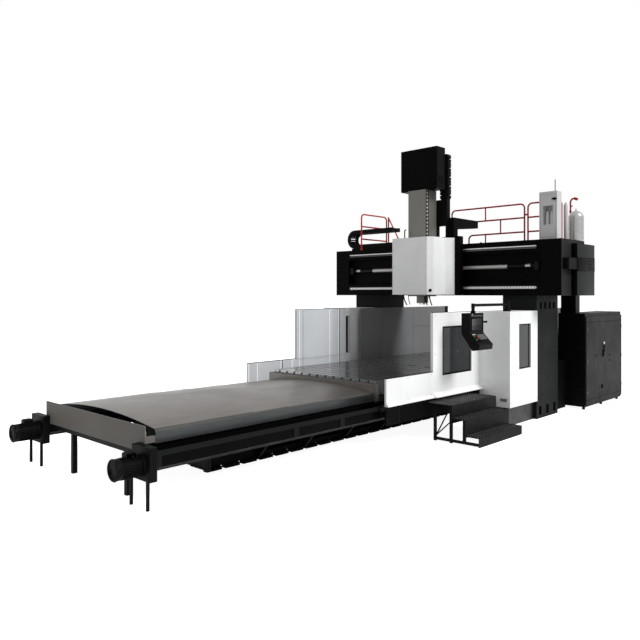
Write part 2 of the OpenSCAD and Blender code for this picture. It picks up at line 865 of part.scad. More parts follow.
module window_glass() color("lightsteelblue", 0.5) {
  mirror([0, 1, 0])
    block(
      [guard_win_x0, guard_y - guard_t / 2 - glass_t / 2, guard_win_z0],
      [guard_win_x1, guard_y - guard_t / 2 + glass_t / 2, guard_win_z1]
    );
  both_sides()
    block(
      [housing_win_x0, housing_y1 - housing_recess, housing_win_z0],
      [housing_win_x1, housing_y1 - housing_recess + glass_t, housing_win_z1]
    );
  block([slit_x0, guard_y - glass_t, slit_z0], [slit_x1, guard_y, slit_z1]);
}

anchor_count = 3;
top_pocket_count = 4;
top_pocket_z0 = beam_z0 - 254;
top_pocket_z1 = beam_z0 - 126;

module column() {
  mid_x = column_x0 + column_d / 2;
  anchor_pitch = column_d / anchor_count;
  top_pitch = (column_d - 160) / top_pocket_count;
  difference() {
    block([column_x0, column_y0, 0], [column_x1, column_y1, beam_z0]);
    for (i = [0 : anchor_count - 1]) {
      x = column_x0 + (i + 0.5) * anchor_pitch;
      block(
        [x - anchor_w / 2, column_y1 - anchor_d, 60],
        [x + anchor_w / 2, column_y1 + cut, 60 + anchor_h]
      );
      translate([x, column_y1 - anchor_d / 2, -cut]) cylinder(r = anchor_r, h = 60 + 2 * cut);
    }
    for (i = [0 : top_pocket_count - 1]) {
      x = column_x0 + 80 + (i + 0.5) * top_pitch;
      block([x - 42, column_y1 - 110, top_pocket_z0], [x + 42, column_y1 + cut, top_pocket_z1]);
    }
  }
}

module near_column() color("dimgray") mirror([0, 1, 0]) column();
module far_column() color("dimgray") column();

module crossbeam() color("dimgray") {
  pad = 95;
  difference() {
    block([beam_x0, -beam_y1, beam_z0], [beam_x1, beam_y1, beam_z1]);
    block(
      [beam_x0 - cut, -recess_y1, rail_z_low + pad],
      [beam_x0 + recess_d, recess_y1, rail_z_high - pad]
    );
    // The ends are narrower behind the front plate
    for (side = [-1, 1])
      block(
        [beam_x0 + 503, side > 0 ? beam_y1 - 140 : -beam_y1 - cut, beam_z0 - cut],
        [beam_x1 + cut, side > 0 ? beam_y1 + cut : -beam_y1 + 140, beam_z1 - 80]
      );
  }
}

module beam_rails() color("silver")
  for (z = [rail_z_low, rail_z_high])
    block([rail_face_x, -rail_y1, z - rail_w / 2], [beam_x0, rail_y1, z + rail_w / 2]);

screw_x = beam_x0 + recess_d / 2;
screw_z = rail_z_high - 350;
bearing_y = recess_y1 - 130;

module beam_screw() color("silver") {
  rod_y(screw_x, -recess_y1 + 40, recess_y1 - 40, screw_z, screw_r);
  for (side = [-1, 1])
    block(
      [screw_x - 55, side > 0 ? bearing_y : -bearing_y - 80, screw_z - 75],
      [beam_x0 + recess_d, side > 0 ? bearing_y + 80 : -bearing_y, screw_z + 75]
    );
}

// Boxes and the cable riser at the near end of the beam
cooler_z0 = beam_z0 + 10;
cooler_z1 = cooler_z0 + cooler_h;
cooler_x1 = beam_x1 + cooler_l;
// Width of the beam's end behind its front plate
end_step = 138;
riser_y0 = ecab_front_y - 211;
riser_z1 = cooler_z0 + 420;

module beam_end_units() color("dimgray") {
  near_y = -beam_y1;
  duct_z0 = beam_z0 + duct_rise;
  // Horizontal duct past the end of the beam
  block([beam_x0 + 60, near_y - duct_w, duct_z0], [beam_x1 + 144, near_y, duct_z0 + duct_h]);
  // Cooling unit behind the beam
  block([beam_x1 - 200, near_y, cooler_z0], [cooler_x1, near_y + end_step, cooler_z1]);
  block([beam_x1, near_y + end_step, cooler_z0], [cooler_x1, near_y + cooler_w, cooler_z1]);
  // Riser that stands on the cabinet's roof, and the duct from its top to the cooling unit
  block([ecab_x0, -riser_y0, ecab_z1], [ecab_x0 + riser_d, -riser_y0 + riser_w, riser_z1]);
  block(
    [cooler_x1, -riser_y0 + 40, riser_z1 - 240],
    [ecab_x0, -riser_y0 + riser_w - 40, riser_z1]
  );
}

carriage_l = 190;
saddle_front_x = saddle_x0 - 40;
housing_in_x0 = -ram_x1 - ram_clear - 110;
nut_l = 240;
// Height range of the ram housing inside the head cover
guide_z0 = saddle_z0 + 65;
guide_z1 = saddle_z1 - 105;
guide_pad_h = 150;

module saddle() color("dimgray") {
  // Plate that rides on the rails
  block([saddle_x0, -saddle_y1, saddle_z0], [saddle_x1, saddle_y1, saddle_z1]);
  for (z = [rail_z_low, rail_z_high])
    for (side = [-1, 1]) {
      y = side * (saddle_y1 - carriage_l / 2 - 20);
      difference() {
        block(
          [saddle_x1, y - carriage_l / 2, z - rail_w / 2 - 38],
          [beam_x0 - 6, y + carriage_l / 2, z + rail_w / 2 + 38]
        );
        block(
          [rail_face_x - run_gap, y - carriage_l / 2 - cut, z - rail_w / 2 - run_gap],
          [beam_x0, y + carriage_l / 2 + cut, z + rail_w / 2 + run_gap]
        );
      }
    }
  // Nut of the cross-feed screw
  difference() {
    block(
      [saddle_x1, -nut_l / 2, screw_z - 70],
      [screw_x + screw_r + 8, nut_l / 2, screw_z + 70]
    );
    rod_y(screw_x, -nut_l / 2 - cut, nut_l / 2 + cut, screw_z, screw_r + run_gap);
  }
  // Ram housing with guide pads at its two ends
  difference() {
    block([housing_in_x0, -ram_y1 - 120, guide_z0], [saddle_x0, ram_y1 + 120, guide_z1]);
    block(
      [-ram_x1 - ram_clear, -ram_y1 - ram_clear, guide_z0 - cut],
      [ram_x1 + ram_clear, ram_y1 + ram_clear, guide_z1 + cut]
    );
  }
  for (z = [guide_z0 + 20, guide_z1 - guide_pad_h - 20])
    difference() {
      block([-ram_x1 - 40, -ram_y1 - 40, z], [ram_x1 + ram_clear, ram_y1 + 40, z + guide_pad_h]);
      block(
        [-ram_x1 - run_gap, -ram_y1 - run_gap, z - cut],
        [ram_x1 + run_gap, ram_y1 + run_gap, z + guide_pad_h + cut]
      );
    }
}

flare_x0 = saddle_x0 - flare_l;
// Half width of the head cover's flared part at x
function flare_y(x) = head_y1 + (x - flare_x0) * flare_w / flare_l;

// Outline of the head cover in plan, set in by t, with its back edge at x = back
function head_outline(t, back) = [
  [back, -flare_y(back) + t * 1.3],
  [flare_x0, -head_y1 + t],
  [head_x0 + head_chamfer + t * 0.414, -head_y1 + t],
  [head_x0 + t, -head_y1 + head_chamfer + t * 0.414],
  [head_x0 + t, head_y1 - head_chamfer - t * 0.414],
  [head_x0 + head_chamfer + t * 0.414, head_y1 - t],
  [flare_x0, head_y1 - t],
  [back, flare_y(back) - t * 1.3]
];

module head_cover() color("white") {
  difference() {
    translate([0, 0, head_z0]) linear_extrude(head_z1 - head_z0) polygon(head_outline(0, saddle_x0));
    translate([0, 0, head_z0 - cut])
      linear_extrude(head_z1 - head_z0 - head_sheet + cut)
        polygon(head_outline(head_sheet, saddle_x0 + cut));
    block(
      [-ram_x1 - 30, -ram_y1 - 60, head_z1 - 2 * head_sheet],
      [saddle_x0 + cut, ram_y1 + 30, head_z1 + cut]
    );
  }
}

module ram() color("darkgray") {
  difference() {
    union() {
      block([-ram_x1, -ram_y1, ram_z0], [ram_x1, ram_y1, ram_z1]);
      translate([0, 0, spindle_housing_z0]) cylinder(r = spindle_r, h = spindle_housing_l);
    }
    translate([0, 0, spindle_housing_z0 - cut])
      cylinder(r = shaft_r + run_gap, h = spindle_housing_l - 20 + cut);
  }
}

module spindle() color("silver") {
  difference() {
    union() {
      translate([0, 0, nose_z]) cylinder(r = nose_r, h = spindle_housing_z0 - run_gap - nose_z);
      translate([0, 0, nose_z]) cylinder(r = shaft_r, h = ram_z0 - 20 - run_gap - nose_z);
    }
    translate([0, 0, nose_z - cut]) cylinder(r = spindle_bore_r, h = spindle_bore_l + cut);
  }
}

module ram_motor_box() color("dimgray") {
  block([-135, -top_box_y1, ram_z1], [161, top_box_y1, top_box_z1]);
}

tower_x1 = tower_x0 + tower_d;

// Legs, block and the energy chain that stands on the block
module ram_chain_tower() color("dimgray") {
  leg_w = 40;
  block_z0 = saddle_z1 + tower_leg_h;
  chain_z0 = block_z0 + tower_block_h;
  link_r = tower_link_l / 2 + 2;
  for (y = [-tower_y1, -tower_y1 + tower_block_w - leg_w])
    block([tower_x0, y, saddle_z1], [tower_x1, y + leg_w, block_z0]);
  block([tower_x0, -tower_y1, block_z0], [tower_x1, -tower_y1 + tower_block_w, chain_z0]);
  // Each link is a rounded bump on both edges of the chain's spine
  near_y = -tower_y1 + 26;
  far_y = near_y + 98;
  block([tower_x0 + 12, near_y, chain_z0], [tower_x1 - 12, far_y, chain_z0 + tower_chain_h]);
  for (i = [0 : floor(tower_chain_h / tower_link_l) - 1])
    for (y = [near_y, far_y])
      rod_x(tower_x0, tower_x1, y, chain_z0 + (i + 0.5) * tower_link_l, link_r);
}

module saddle_bracket() color("dimgray") {
  bracket_z0 = beam_z1 + bracket_rise;
  bracket_z1 = bracket_z0 + bracket_h;
  along_y(-610, -490)
    polygon([
      [tower_x0, saddle_z1], [tower_x1 + 40, saddle_z1], [tower_x1 + 40, bracket_z0 - 72],
      [beam_x0 + bracket_reach, bracket_z0], [beam_x0 + bracket_reach, bracket_z1],
      [tower_x0, bracket_z1]
    ]);
}

chain_x0 = beam_x0 + 158;
chain_x1 = chain_x0 + chain_w;
chain_z0 = beam_z1 + 57;
chain_side_t = 22;
bar_t = 30;

// Straight run of chain: two side plates and a cross bar for each link
module chain_run(y0, y1, z) {
  for (x = [chain_x0, chain_x1 - chain_side_t])
    block([x, y0, z], [x + chain_side_t, y1, z + chain_h]);
  for (y = [y0 : link_l : y1 - bar_t])
    block([chain_x0 + cut, y, z + 10], [chain_x1 - cut, y + bar_t, z + chain_h - 10]);
}

// Cable chain as one fixed loop: lower run, round end and upper run
module beam_chain() color("dimgray") {
  loop_y = chain_y1 - chain_r;
  arc_bars = floor(180 / 20);
  translate([0, loop_y, chain_z0 + chain_r]) {
    for (x = [chain_x0, chain_x1 - chain_side_t])
      translate([x, 0, 0])
        rotate([90, 0, 90])
          linear_extrude(chain_side_t)
            difference() {
              circle(chain_r);
              circle(chain_r - chain_h);
              translate([-2 * chain_r, -2 * chain_r]) square([2 * chain_r, 4 * chain_r]);
            }
    for (i = [0 : arc_bars - 1])
      rotate([-80 + i * 20, 0, 0])
        translate([chain_x0 + cut, chain_r - chain_h + 10, -bar_t / 2])
          cube([chain_w - 2 * cut, chain_h - 20, bar_t]);
  }
  chain_run(loop_y - chain_l - 900, loop_y, chain_z0);
  chain_run(loop_y - chain_l, loop_y, chain_z0 + 2 * chain_r - chain_h);
  // Tray under the lower run
  block(
    [chain_x0 - 20, loop_y - chain_l - 900, beam_z1],
    [chain_x1 + 20, loop_y + 60, chain_z0]
  );
}

rail_x0 = beam_x0 + 30;
rail_x1 = beam_x1 - 46;
bend_r = 90;
// Heights of the three pipes above the beam, top one first
pipe_hs = [handrail_h, handrail_h * 0.66, handrail_h * 0.31];

module post(x, y) {
  translate([x, y, beam_z1]) cylinder(r = pipe_r, h = handrail_h - bend_r);
}

// Quarter bend from a post into a pipe at height h above the beam; turn is the pipe's heading
module bend(x, y, turn, h) {
  translate([x, y, beam_z1 + h - bend_r])
    rotate([0, 0, turn])
      translate([bend_r, 0, 0])
        rotate([90, 0, 180])
          rotate_extrude(angle = 90)
            translate([bend_r, 0]) circle(pipe_r);
}

// Two posts with a round-cornered top pipe and a middle pipe between them
module rail_frame(l) {
  post(0, 0);
  post(l, 0);
  bend(0, 0, 0, handrail_h);
  bend(l, 0, 180, handrail_h);
  rod_x(bend_r, l - bend_r, 0, beam_z1 + pipe_hs[0], pipe_r);
  rod_x(0, l, 0, beam_z1 + pipe_hs[1], pipe_r);
}

// One panel of rail between two posts; turn is the heading from the first post
module rail_panel(x, y, l, turn) {
  translate([x, y, 0]) rotate([0, 0, turn]) {
    rail_frame(l);
    rod_x(0, l, 0, beam_z1 + pipe_hs[2], pipe_r);
  }
}

// Long rear panel: its low pipe starts later, and short uprights stand staggered
module rear_panel() {
  low_x = rear_rail_l * 0.25;
  upright_x1 = rear_rail_l * 0.483;
  upright_x2 = rear_rail_l * 0.688;
  translate([rail_x1, rear_rail_y, 0]) rotate([0, 0, -90]) {
    rail_frame(rear_rail_l);
    translate([low_x, 0, beam_z1]) cylinder(r = pipe_r, h = pipe_hs[2] - bend_r);
    bend(low_x, 0, 0, pipe_hs[2]);
    rod_x(low_x + bend_r, rear_rail_l, 0, beam_z1 + pipe_hs[2], pipe_r);
    translate([upright_x1, 0, beam_z1]) cylinder(r = pipe_r - 3, h = pipe_hs[2]);
    translate([upright_x1, 0, beam_z1 + pipe_hs[1]])
      cylinder(r = pipe_r - 3, h = pipe_hs[0] - pipe_hs[1]);
    translate([upright_x2, 0, beam_z1 + pipe_hs[2]])
      cylinder(r = pipe_r - 3, h = pipe_hs[1] - pipe_hs[2]);
  }
}

// Short end piece in the rear plane: its top pipe slopes down to a low post
module sloped_end() {
  run = 284;
  drop = 500;
  slope_top = handrail_h - 10;
  translate([rail_x1, handrail_y1 - 44, beam_z1]) {
    cylinder(r = pipe_r, h = slope_top);
    translate([0, 0, slope_top]) sphere(r = pipe_r + 3);
    translate([0, 0, slope_top])
      rotate([90 + atan2(drop, run), 0, 0]) cylinder(r = pipe_r - 2, h = norm([run, drop]));
    translate([0, -run, slope_top - drop]) sphere(r = pipe_r + 3);
    translate([0, -run, 0]) cylinder(r = pipe_r, h = slope_top - drop);
  }
}

module handrail() color("firebrick") {
  first_end_y = rear_rail_y - rear_rail_l;
  rail_panel(rail_x0, handrail_y1, rail_x1 - rail_x0 - 22, 0);
  sloped_end();
  rear_panel();
  // Clamp between the doubled posts
  block(
    [rail_x1 - 12, first_end_y - post_gap, beam_z1 + handrail_h * 0.71],
    [rail_x1 + 12, first_end_y, beam_z1 + handrail_h * 0.75]
  );
  rail_panel(rail_x1, first_end_y - post_gap, 700, -90);
}

unit_x0 = beam_x0 + 332;
unit_x1 = unit_x0 + 199;
unit_y1 = beam_y1 - 229;
unit_w = 348;
unit_z1 = beam_z1 + 922;
niche_z0 = beam_z1 + 302;
niche_z1 = beam_z1 + 652;

// Cabinet with an open niche that holds two filter bowls
module unit_cabinet() color("lightgray") {
  difference() {
    block([unit_x0, -unit_y1, beam_z1], [unit_x1, -unit_y1 + unit_w, unit_z1]);
    block(
      [unit_x0 - cut, -unit_y1 + 83, niche_z0],
      [unit_x1 - 12, -unit_y1 + unit_w - 75, niche_z1]
    );
  }
  for (y = [-unit_y1 + 133, -unit_y1 + 222])
    translate([unit_x0 + 90, y, niche_z0]) {
      cylinder(r = 38, h = 190);
      cylinder(r = 30, h = 250);
    }
  translate([unit_x0 + 60, -unit_y1 + 63, unit_z1]) cylinder(r = 8, h = 220);
}

bottle_x = beam_x1 + 269;
bottle_y = -beam_y1 + 270;

// Bottle with a domed shoulder, a neck and a valve
module gas_bottle() color("silver") {
  translate([bottle_x, bottle_y, cooler_z1]) {
    rotate_extrude()
      difference() {
        union() {
          square([bottle_r, bottle_h - bottle_r]);
          translate([0, bottle_h - bottle_r]) circle(bottle_r);
          square([22, bottle_h + 40]);
          translate([0, bottle_h + 40]) square([34, 16]);
        }
        translate([-2 * bottle_r, -bottle_r]) square([2 * bottle_r, 4 * bottle_r + bottle_h]);
      }
    rod_x(0, 60, 0, bottle_h + 20, 12);
  }
}

ecab_wall = 20;
ecab_mid_x = ecab_x0 + ecab_l / 2;
ecab_face_y = -ecab_front_y + door_t;

module electrical_cabinet() color("dimgray") {
  difference() {
    block([ecab_x0, ecab_face_y, ecab_z0], [ecab_x1, -ecab_back_y, ecab_z1]);
    block(
      [ecab_x0 + ecab_wall, ecab_face_y - cut, ecab_z0 + 100],
      [ecab_x1 - ecab_wall, -ecab_back_y - ecab_wall, ecab_z1 - 100]
    );
  }
  // Mounting plate inside
  block(
    [ecab_x0 + 100, -ecab_back_y - ecab_wall - 30, ecab_z0 + 100],
    [ecab_x1 - 100, -ecab_back_y - ecab_wall, ecab_z1 - 140]
  );
  for (x = [ecab_x0 + 80, ecab_mid_x, ecab_x1 - 80])
    for (y = [ecab_face_y + 60, -ecab_back_y - 60])
      translate([x, y, 0]) cylinder(r = 28, h = ecab_z0);
  // Rod handle on the rear end
  rod_x(ecab_x1, ecab_x1 + 120, -2300, 1270, 10);
  translate([ecab_x1 + 110, -2300, 900]) cylinder(r = 10, h = 380);
}

door_gap = 4;
door_z0 = ecab_z0 + 40;
door_z1 = ecab_z1 - 60;

module cabinet_door_front() color("dimgray") {
  block(
    [ecab_x0 + 12, -ecab_front_y, door_z0],
    [ecab_mid_x - door_gap / 2, ecab_face_y - run_gap, door_z1]
  );
  block([ecab_mid_x - 70, -ecab_front_y - 22, 1120], [ecab_mid_x - 40, -ecab_front_y, 1300]);
}

module cabinet_door_rear() color("dimgray") {
  block(
    [ecab_mid_x + door_gap / 2, -ecab_front_y, door_z0],
    [ecab_x1 - 12, ecab_face_y - run_gap, door_z1]
  );
}

steps_x1 = steps_x0 + steps_l;
tread_rise = 245;

// One folded tread: its sheet and the fascia under its front edge
module tread(y_back, y_front, z, fascia) {
  block([steps_x0, -y_front, z - step_sheet], [steps_x1, -y_back, z]);
  block([steps_x0, -y_front, z - fascia], [steps_x1, -y_front + step_sheet, z]);
}

module operator_steps() color("dimgray") {
  leg = 40;
  y2 = platform_y1 + tread_going;
  y3 = y2 + tread_going;
  z2 = platform_z - 202;
  z3 = z2 - tread_rise + 2;
  tread(guard_y + run_gap, platform_y1, platform_z, 280);
  tread(platform_y1 - step_sheet, y2, z2, 270);
  tread(y2 - step_sheet, y3, z3, z3);
  for (x = [steps_x0, steps_x1 - leg]) {
    block([x, -platform_y0 - leg, 0], [x + leg, -platform_y0, platform_z - step_sheet]);
    block([x, -platform_y1 + step_sheet, 0], [x + leg, -platform_y1 + step_sheet + leg, platform_z - step_sheet]);
    block([x, -y3 + step_sheet, 20], [x + leg, -platform_y0 - leg, 20 + leg]);
    block([x, -y2 + step_sheet, 20 + leg], [x + leg, -y2 + step_sheet + leg, z2 - step_sheet]);
  }
}

module pendant_arm() color("gray") {
  translate([pivot_x, -pivot_y, housing_z1 + run_gap]) cylinder(r = 70, h = 40);
  translate([pivot_x, -pivot_y, housing_z1 + 40]) cylinder(r = 46, h = pivot_z + 60 - housing_z1 - 40);
  rod_x(console_x, pivot_x, -pivot_y, pivot_z, 24);
  translate([console_x, -pivot_y, console_z1 + 30])
    cylinder(r = 30, h = pivot_z - console_z1);
}

module pendant_console() color("dimgray") {
  translate([0, -pivot_y, 0])
    along_x(console_x - console_w / 2, console_x + console_w / 2)
      polygon([
        [89, console_z1], [-70, console_z1], [-70, console_z1 - 326], [-247, console_z1 - 511],
        [-231, console_z1 - 594], [-112, console_z1 - 610], [89, console_z1 - 341]
      ]);
  translate([console_x, -pivot_y, console_z1]) cylinder(r = 40, h = 30 - run_gap);
}

bed();
chip_troughs();
chip_conveyors();
end_frames();
front_cover_1();
front_cover_2();
front_cover_3();
front_cover_4();
front_cover_5();
rear_cover_1();
rear_cover_2();
rear_cover_3();
rear_cover_4();
rear_cover_5();
table();
table_end_plates();
guard_frames();
near_guard();
far_guard();
near_housing();
far_housing();
window_glass();
near_column();
far_column();
crossbeam();
beam_rails();
beam_screw();
beam_end_units();
saddle();
head_cover();
ram();
spindle();
ram_motor_box();
ram_chain_tower();
saddle_bracket();
beam_chain();
handrail();
unit_cabinet();
gas_bottle();
electrical_cabinet();
cabinet_door_front();
cabinet_door_rear();
operator_steps();
pendant_arm();
pendant_console();
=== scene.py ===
# %% [markdown]
# A gantry machining center.
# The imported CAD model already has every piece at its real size: a long bed with a sliding table,
# two columns with a fixed crossbeam, and a head with a vertical ram. This lesson gives those pieces
# their finishes, adds the small hardware that a designer leaves out of the construction model, and
# sets up the camera and the light. The CAD model comes in first and is never moved or resized.

# %% Load the frame
import json
import math

import bpy
from mathutils import Matrix, Vector

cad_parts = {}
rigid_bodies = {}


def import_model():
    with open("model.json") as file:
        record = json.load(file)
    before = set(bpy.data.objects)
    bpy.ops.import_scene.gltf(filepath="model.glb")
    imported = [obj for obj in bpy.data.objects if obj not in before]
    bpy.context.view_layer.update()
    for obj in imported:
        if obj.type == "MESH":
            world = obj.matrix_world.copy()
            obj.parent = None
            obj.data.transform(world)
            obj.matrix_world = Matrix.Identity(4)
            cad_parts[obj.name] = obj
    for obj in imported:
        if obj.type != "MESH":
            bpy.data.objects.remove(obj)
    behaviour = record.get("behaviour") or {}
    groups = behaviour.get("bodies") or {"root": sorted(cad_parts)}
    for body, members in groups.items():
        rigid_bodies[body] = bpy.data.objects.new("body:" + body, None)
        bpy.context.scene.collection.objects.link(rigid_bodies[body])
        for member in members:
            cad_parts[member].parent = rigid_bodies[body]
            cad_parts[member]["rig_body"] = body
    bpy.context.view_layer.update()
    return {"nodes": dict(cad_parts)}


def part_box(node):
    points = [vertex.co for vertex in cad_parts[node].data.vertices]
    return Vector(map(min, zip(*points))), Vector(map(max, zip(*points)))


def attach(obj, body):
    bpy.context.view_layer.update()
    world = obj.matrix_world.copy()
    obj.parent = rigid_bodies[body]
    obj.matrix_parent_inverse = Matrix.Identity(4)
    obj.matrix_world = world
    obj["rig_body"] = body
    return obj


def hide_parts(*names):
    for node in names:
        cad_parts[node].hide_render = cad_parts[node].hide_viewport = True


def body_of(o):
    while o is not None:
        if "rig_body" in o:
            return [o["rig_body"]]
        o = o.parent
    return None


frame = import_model()

# %% [markdown]
# The camera stands where the photographer's did: in front of the bed's near corner, 2.35 m above
# the floor, level, looking along the bed and across it at about 44 degrees. A level camera keeps
# the columns upright in the picture, and a small shift moves the horizon up to the photo's height.

# %% Camera
CAMERA_PLACE = Vector((-11.129, -7.724, 2.350))
CAMERA_HEADING = math.radians(43.68)
CAMERA_LENS = 36.70
CAMERA_SHIFT = -0.0409


def add_camera():
    """A level camera at the photographer's place."""
    bpy.ops.object.camera_add(location=CAMERA_PLACE)
    camera = bpy.context.object
    heading = Vector((math.cos(CAMERA_HEADING), math.sin(CAMERA_HEADING), 0))
    camera.rotation_euler = heading.to_track_quat("-Z", "Y").to_euler()
    camera.data.sensor_width = 36
    camera.data.lens = CAMERA_LENS
    camera.data.shift_y = CAMERA_SHIFT
    camera.data.clip_end = 500
    bpy.context.scene.camera = camera
    return camera


print("camera:", add_camera().location[:])

# %% [markdown]
# Light. The faces of the machine that look at the operator's side are bright and the ones that
# look forward are in soft shade, so a broad sun stands over the operator's side and an even sky
# fills the rest. Their sum on an operator-side face is about one, which shows a colour as written.

# %% Light
SKY_FILL = 0.50
SUN_POWER = 2.4
SUN_FROM = Vector((0.12, -0.72, 0.68))
SUN_SOFTNESS = math.radians(20)


def add_sun():
    """One broad sun over the operator's side."""
    bpy.ops.object.light_add(type="SUN", location=SUN_FROM * 20)
    sun = bpy.context.object
    sun.rotation_euler = (-SUN_FROM).to_track_quat("-Z", "Y").to_euler()
    sun.data.energy = SUN_POWER
    sun.data.angle = SUN_SOFTNESS
    return sun


print("sun power:", add_sun().data.energy)

# %% [markdown]
# Shader maths. A finish is a small network of nodes, and long networks are hard to read in Python.
# The class below wraps one output socket, so that a sum such as 1 - mask * 0.5 adds its own Math
# nodes. Every other node comes from one method of Finish, which takes the node's type, its
# settings, and the values or links of its sockets.


# %% Sockets and finishes
class Socket:
    """One output of a node, with the usual signs of arithmetic."""

    def __init__(self, finish, socket):
        self.finish = finish
        self.socket = socket

    def __add__(self, other):
        return self.finish.maths("ADD", self, other)

    __radd__ = __add__

    def __mul__(self, other):
        return self.finish.maths("MULTIPLY", self, other)

    __rmul__ = __mul__

    def __sub__(self, other):
        return self.finish.maths("SUBTRACT", self, other)

    def __rsub__(self, other):
        return self.finish.maths("SUBTRACT", other, self)


class Finish:
    """A material with its Principled shader and the place of each point, in metres."""

    def __init__(self, name):
        self.material = bpy.data.materials.new(name)
        self.material.use_nodes = True
        self.tree = self.material.node_tree
        self.shader = self.tree.nodes["Principled BSDF"]
        self.place = self.node("ShaderNodeTexCoord", output="Object")

    def node(self, kind, settings=None, values=None, output=0):
        """Adds a node, sets it up, feeds its inputs and hands back one of its outputs."""
        made = self.tree.nodes.new(kind)
        for name, value in (settings or {}).items():
            if name == "stops":
                self.set_stops(made.color_ramp, value)
            else:
                setattr(made, name, value)
        for name, value in (values or {}).items():
            self.feed(made.inputs[name], value)
        return Socket(self, made.outputs[output])

    def set_stops(self, ramp, stops):
        """Gives a ramp its stops: pairs of a position and a grey level."""
        while len(ramp.elements) < len(stops):
            ramp.elements.new(1.0)
        for element, (position, level) in zip(ramp.elements, stops):
            element.position = position
            element.color = (level, level, level, 1)

    def feed(self, target, value):
        """Gives an input a value, or links it to another node's output."""
        if isinstance(value, Socket):
            self.tree.links.new(value.socket, target)
        elif isinstance(value, tuple) and len(value) == 3 and target.type == "RGBA":
            target.default_value = (*value, 1)
        else:
            target.default_value = value

    def set(self, **values):
        """Sets or links inputs of the shader: base_color feeds Base Color, and so on."""
        for name, value in values.items():
            words = {"ior": "IOR", "specular": "Specular IOR Level"}
            self.feed(self.shader.inputs[words.get(name, name.replace("_", " ").title())], value)
        return self.material

    def noise(self, size, detail=3.0, stretch=(1, 1, 1), distortion=0.0):
        """Cloudy noise whose lumps are about size metres across, stretched along an axis."""
        across = tuple(1 / (size * s) for s in stretch)
        spot = self.node("ShaderNodeMapping", {}, {"Vector": self.place, "Scale": across})
        values = {"Vector": spot, "Scale": 1.0, "Detail": detail, "Distortion": distortion}
        return self.node("ShaderNodeTexNoise", {}, values)

    def between(self, value, low, high):
        """0 below low, 1 above high and a straight line between."""
        stops = [(low, 0.0), (high, 1.0)]
        return self.node("ShaderNodeValToRGB", {"stops": stops}, {"Fac": value})

    def blend(self, factor, first, second):
        """A colour that goes from the first to the second."""
        values = {"Factor": factor, "A": first, "B": second}
        return self.node("ShaderNodeMix", {"data_type": "RGBA"}, values, output="Result")

    def scaled(self, colour, factor):
        """The colour made lighter or darker by a factor."""
        values = {0: colour, "Scale": factor}
        return self.node("ShaderNodeVectorMath", {"operation": "SCALE"}, values, "Vector")

    def along(self, axis):
        """The place along one axis, in metres."""
        return self.node("ShaderNodeSeparateXYZ", {}, {"Vector": self.place}, axis)

    def maths(self, operation, first, second=0.0):
        """One step of arithmetic on sockets or numbers."""
        return self.node("ShaderNodeMath", {"operation": operation}, {0: first, 1: second})

    def over(self, value, level):
        """1 where a value is greater than level, and 0 elsewhere."""
        return self.maths("GREATER_THAN", value, level)

    def under(self, value, level):
        """1 up to level, and 0 above it."""
        return 1 - self.over(value, level)

    def inside(self, value, low, high):
        """1 between low and high, and 0 elsewhere."""
        return self.over(value, low) * self.under(value, high)

    def aside(self):
        """The distance from the machine's middle plane, in metres."""
        return self.maths("ABSOLUTE", self.along("Y"))

    def facing_up(self):
        """1 on faces that look up, 0 on upright faces."""
        normal = self.node("ShaderNodeNewGeometry", output="Normal")
        return self.node("ShaderNodeSeparateXYZ", {}, {"Vector": normal}, "Z")

    def edges(self, radius):
        """1 along sharp edges within radius metres, and 0 on flat faces."""
        soft = self.node("ShaderNodeBevel", {"samples": 4}, {"Radius": radius})
        true = self.node("ShaderNodeNewGeometry", output="Normal")
        lined = self.node("ShaderNodeVectorMath", {"operation": "DOT_PRODUCT"}, {0: soft, 1: true}, "Value")
        return self.between(1 - lined, 0.02, 0.25)

    def bump(self, height, depth, radius=0.0):
        """A bumped normal; depth is in metres, and a radius also rounds the edges' shading."""
        values = {"Height": height, "Distance": depth, "Strength": 1.0}
        if radius:
            values["Normal"] = self.node("ShaderNodeBevel", {"samples": 4}, {"Radius": radius})
        return self.node("ShaderNodeBump", {}, values)


def lighter(colour, share):
    """The colour with each part raised by a share."""
    return tuple(min(part * (1 + share), 1.0) for part in colour)


# %% [markdown]
# Machine paint. Castings are sprayed over a slightly rough skin, and sheet-metal covers are powder
# coated, which leaves a fine orange peel. Both fade unevenly, catch dust low down, and show a
# lighter line where hands and chips rub the edges. One function makes both, from the colour, the
# gloss and the size of the surface's own lumps.


# %% Paint
DUST = (0.16, 0.15, 0.135)


def paint(name, colour, roughness=0.45, specular=0.3, lump=0.012, depth=0.0003, wear=0.35, dust=0.25,
          second=None, where=None):
    """Sprayed paint with uneven fading, rubbed edges and dust; where() marks a second colour."""
    finish = Finish(name)
    tone = finish.blend(where(finish), colour, second) if where else colour
    cloud = finish.between(finish.noise(0.9, 4.0), 0.3, 0.75)
    streak = finish.between(finish.noise(0.25, 3.0, (1, 1, 5)), 0.5, 0.8)
    faded = finish.scaled(tone, cloud * 0.12 - streak * 0.05 + 0.95)
    rub = finish.edges(0.006) * finish.between(finish.noise(0.06, 3.0), 0.42, 0.62) * wear
    rubbed = finish.blend(rub, faded, tuple(min(0.25 + part, 1.0) for part in colour))
    settled = finish.between(finish.noise(0.12, 4.0), 0.35, 0.7)
    low = (1 - finish.between(finish.along("Z"), 0.05, 0.7)) * settled
    dusty = finish.blend(low * dust, rubbed, DUST)
    gloss = finish.between(finish.noise(0.35, 3.0), 0.3, 0.7) * 0.12 + (roughness - 0.06)
    peel = finish.noise(lump, 2.0)
    return finish.set(
        base_color=dusty, roughness=gloss + low * 0.2, specular=specular,
        normal=finish.bump(peel, depth, 0.004),
    )


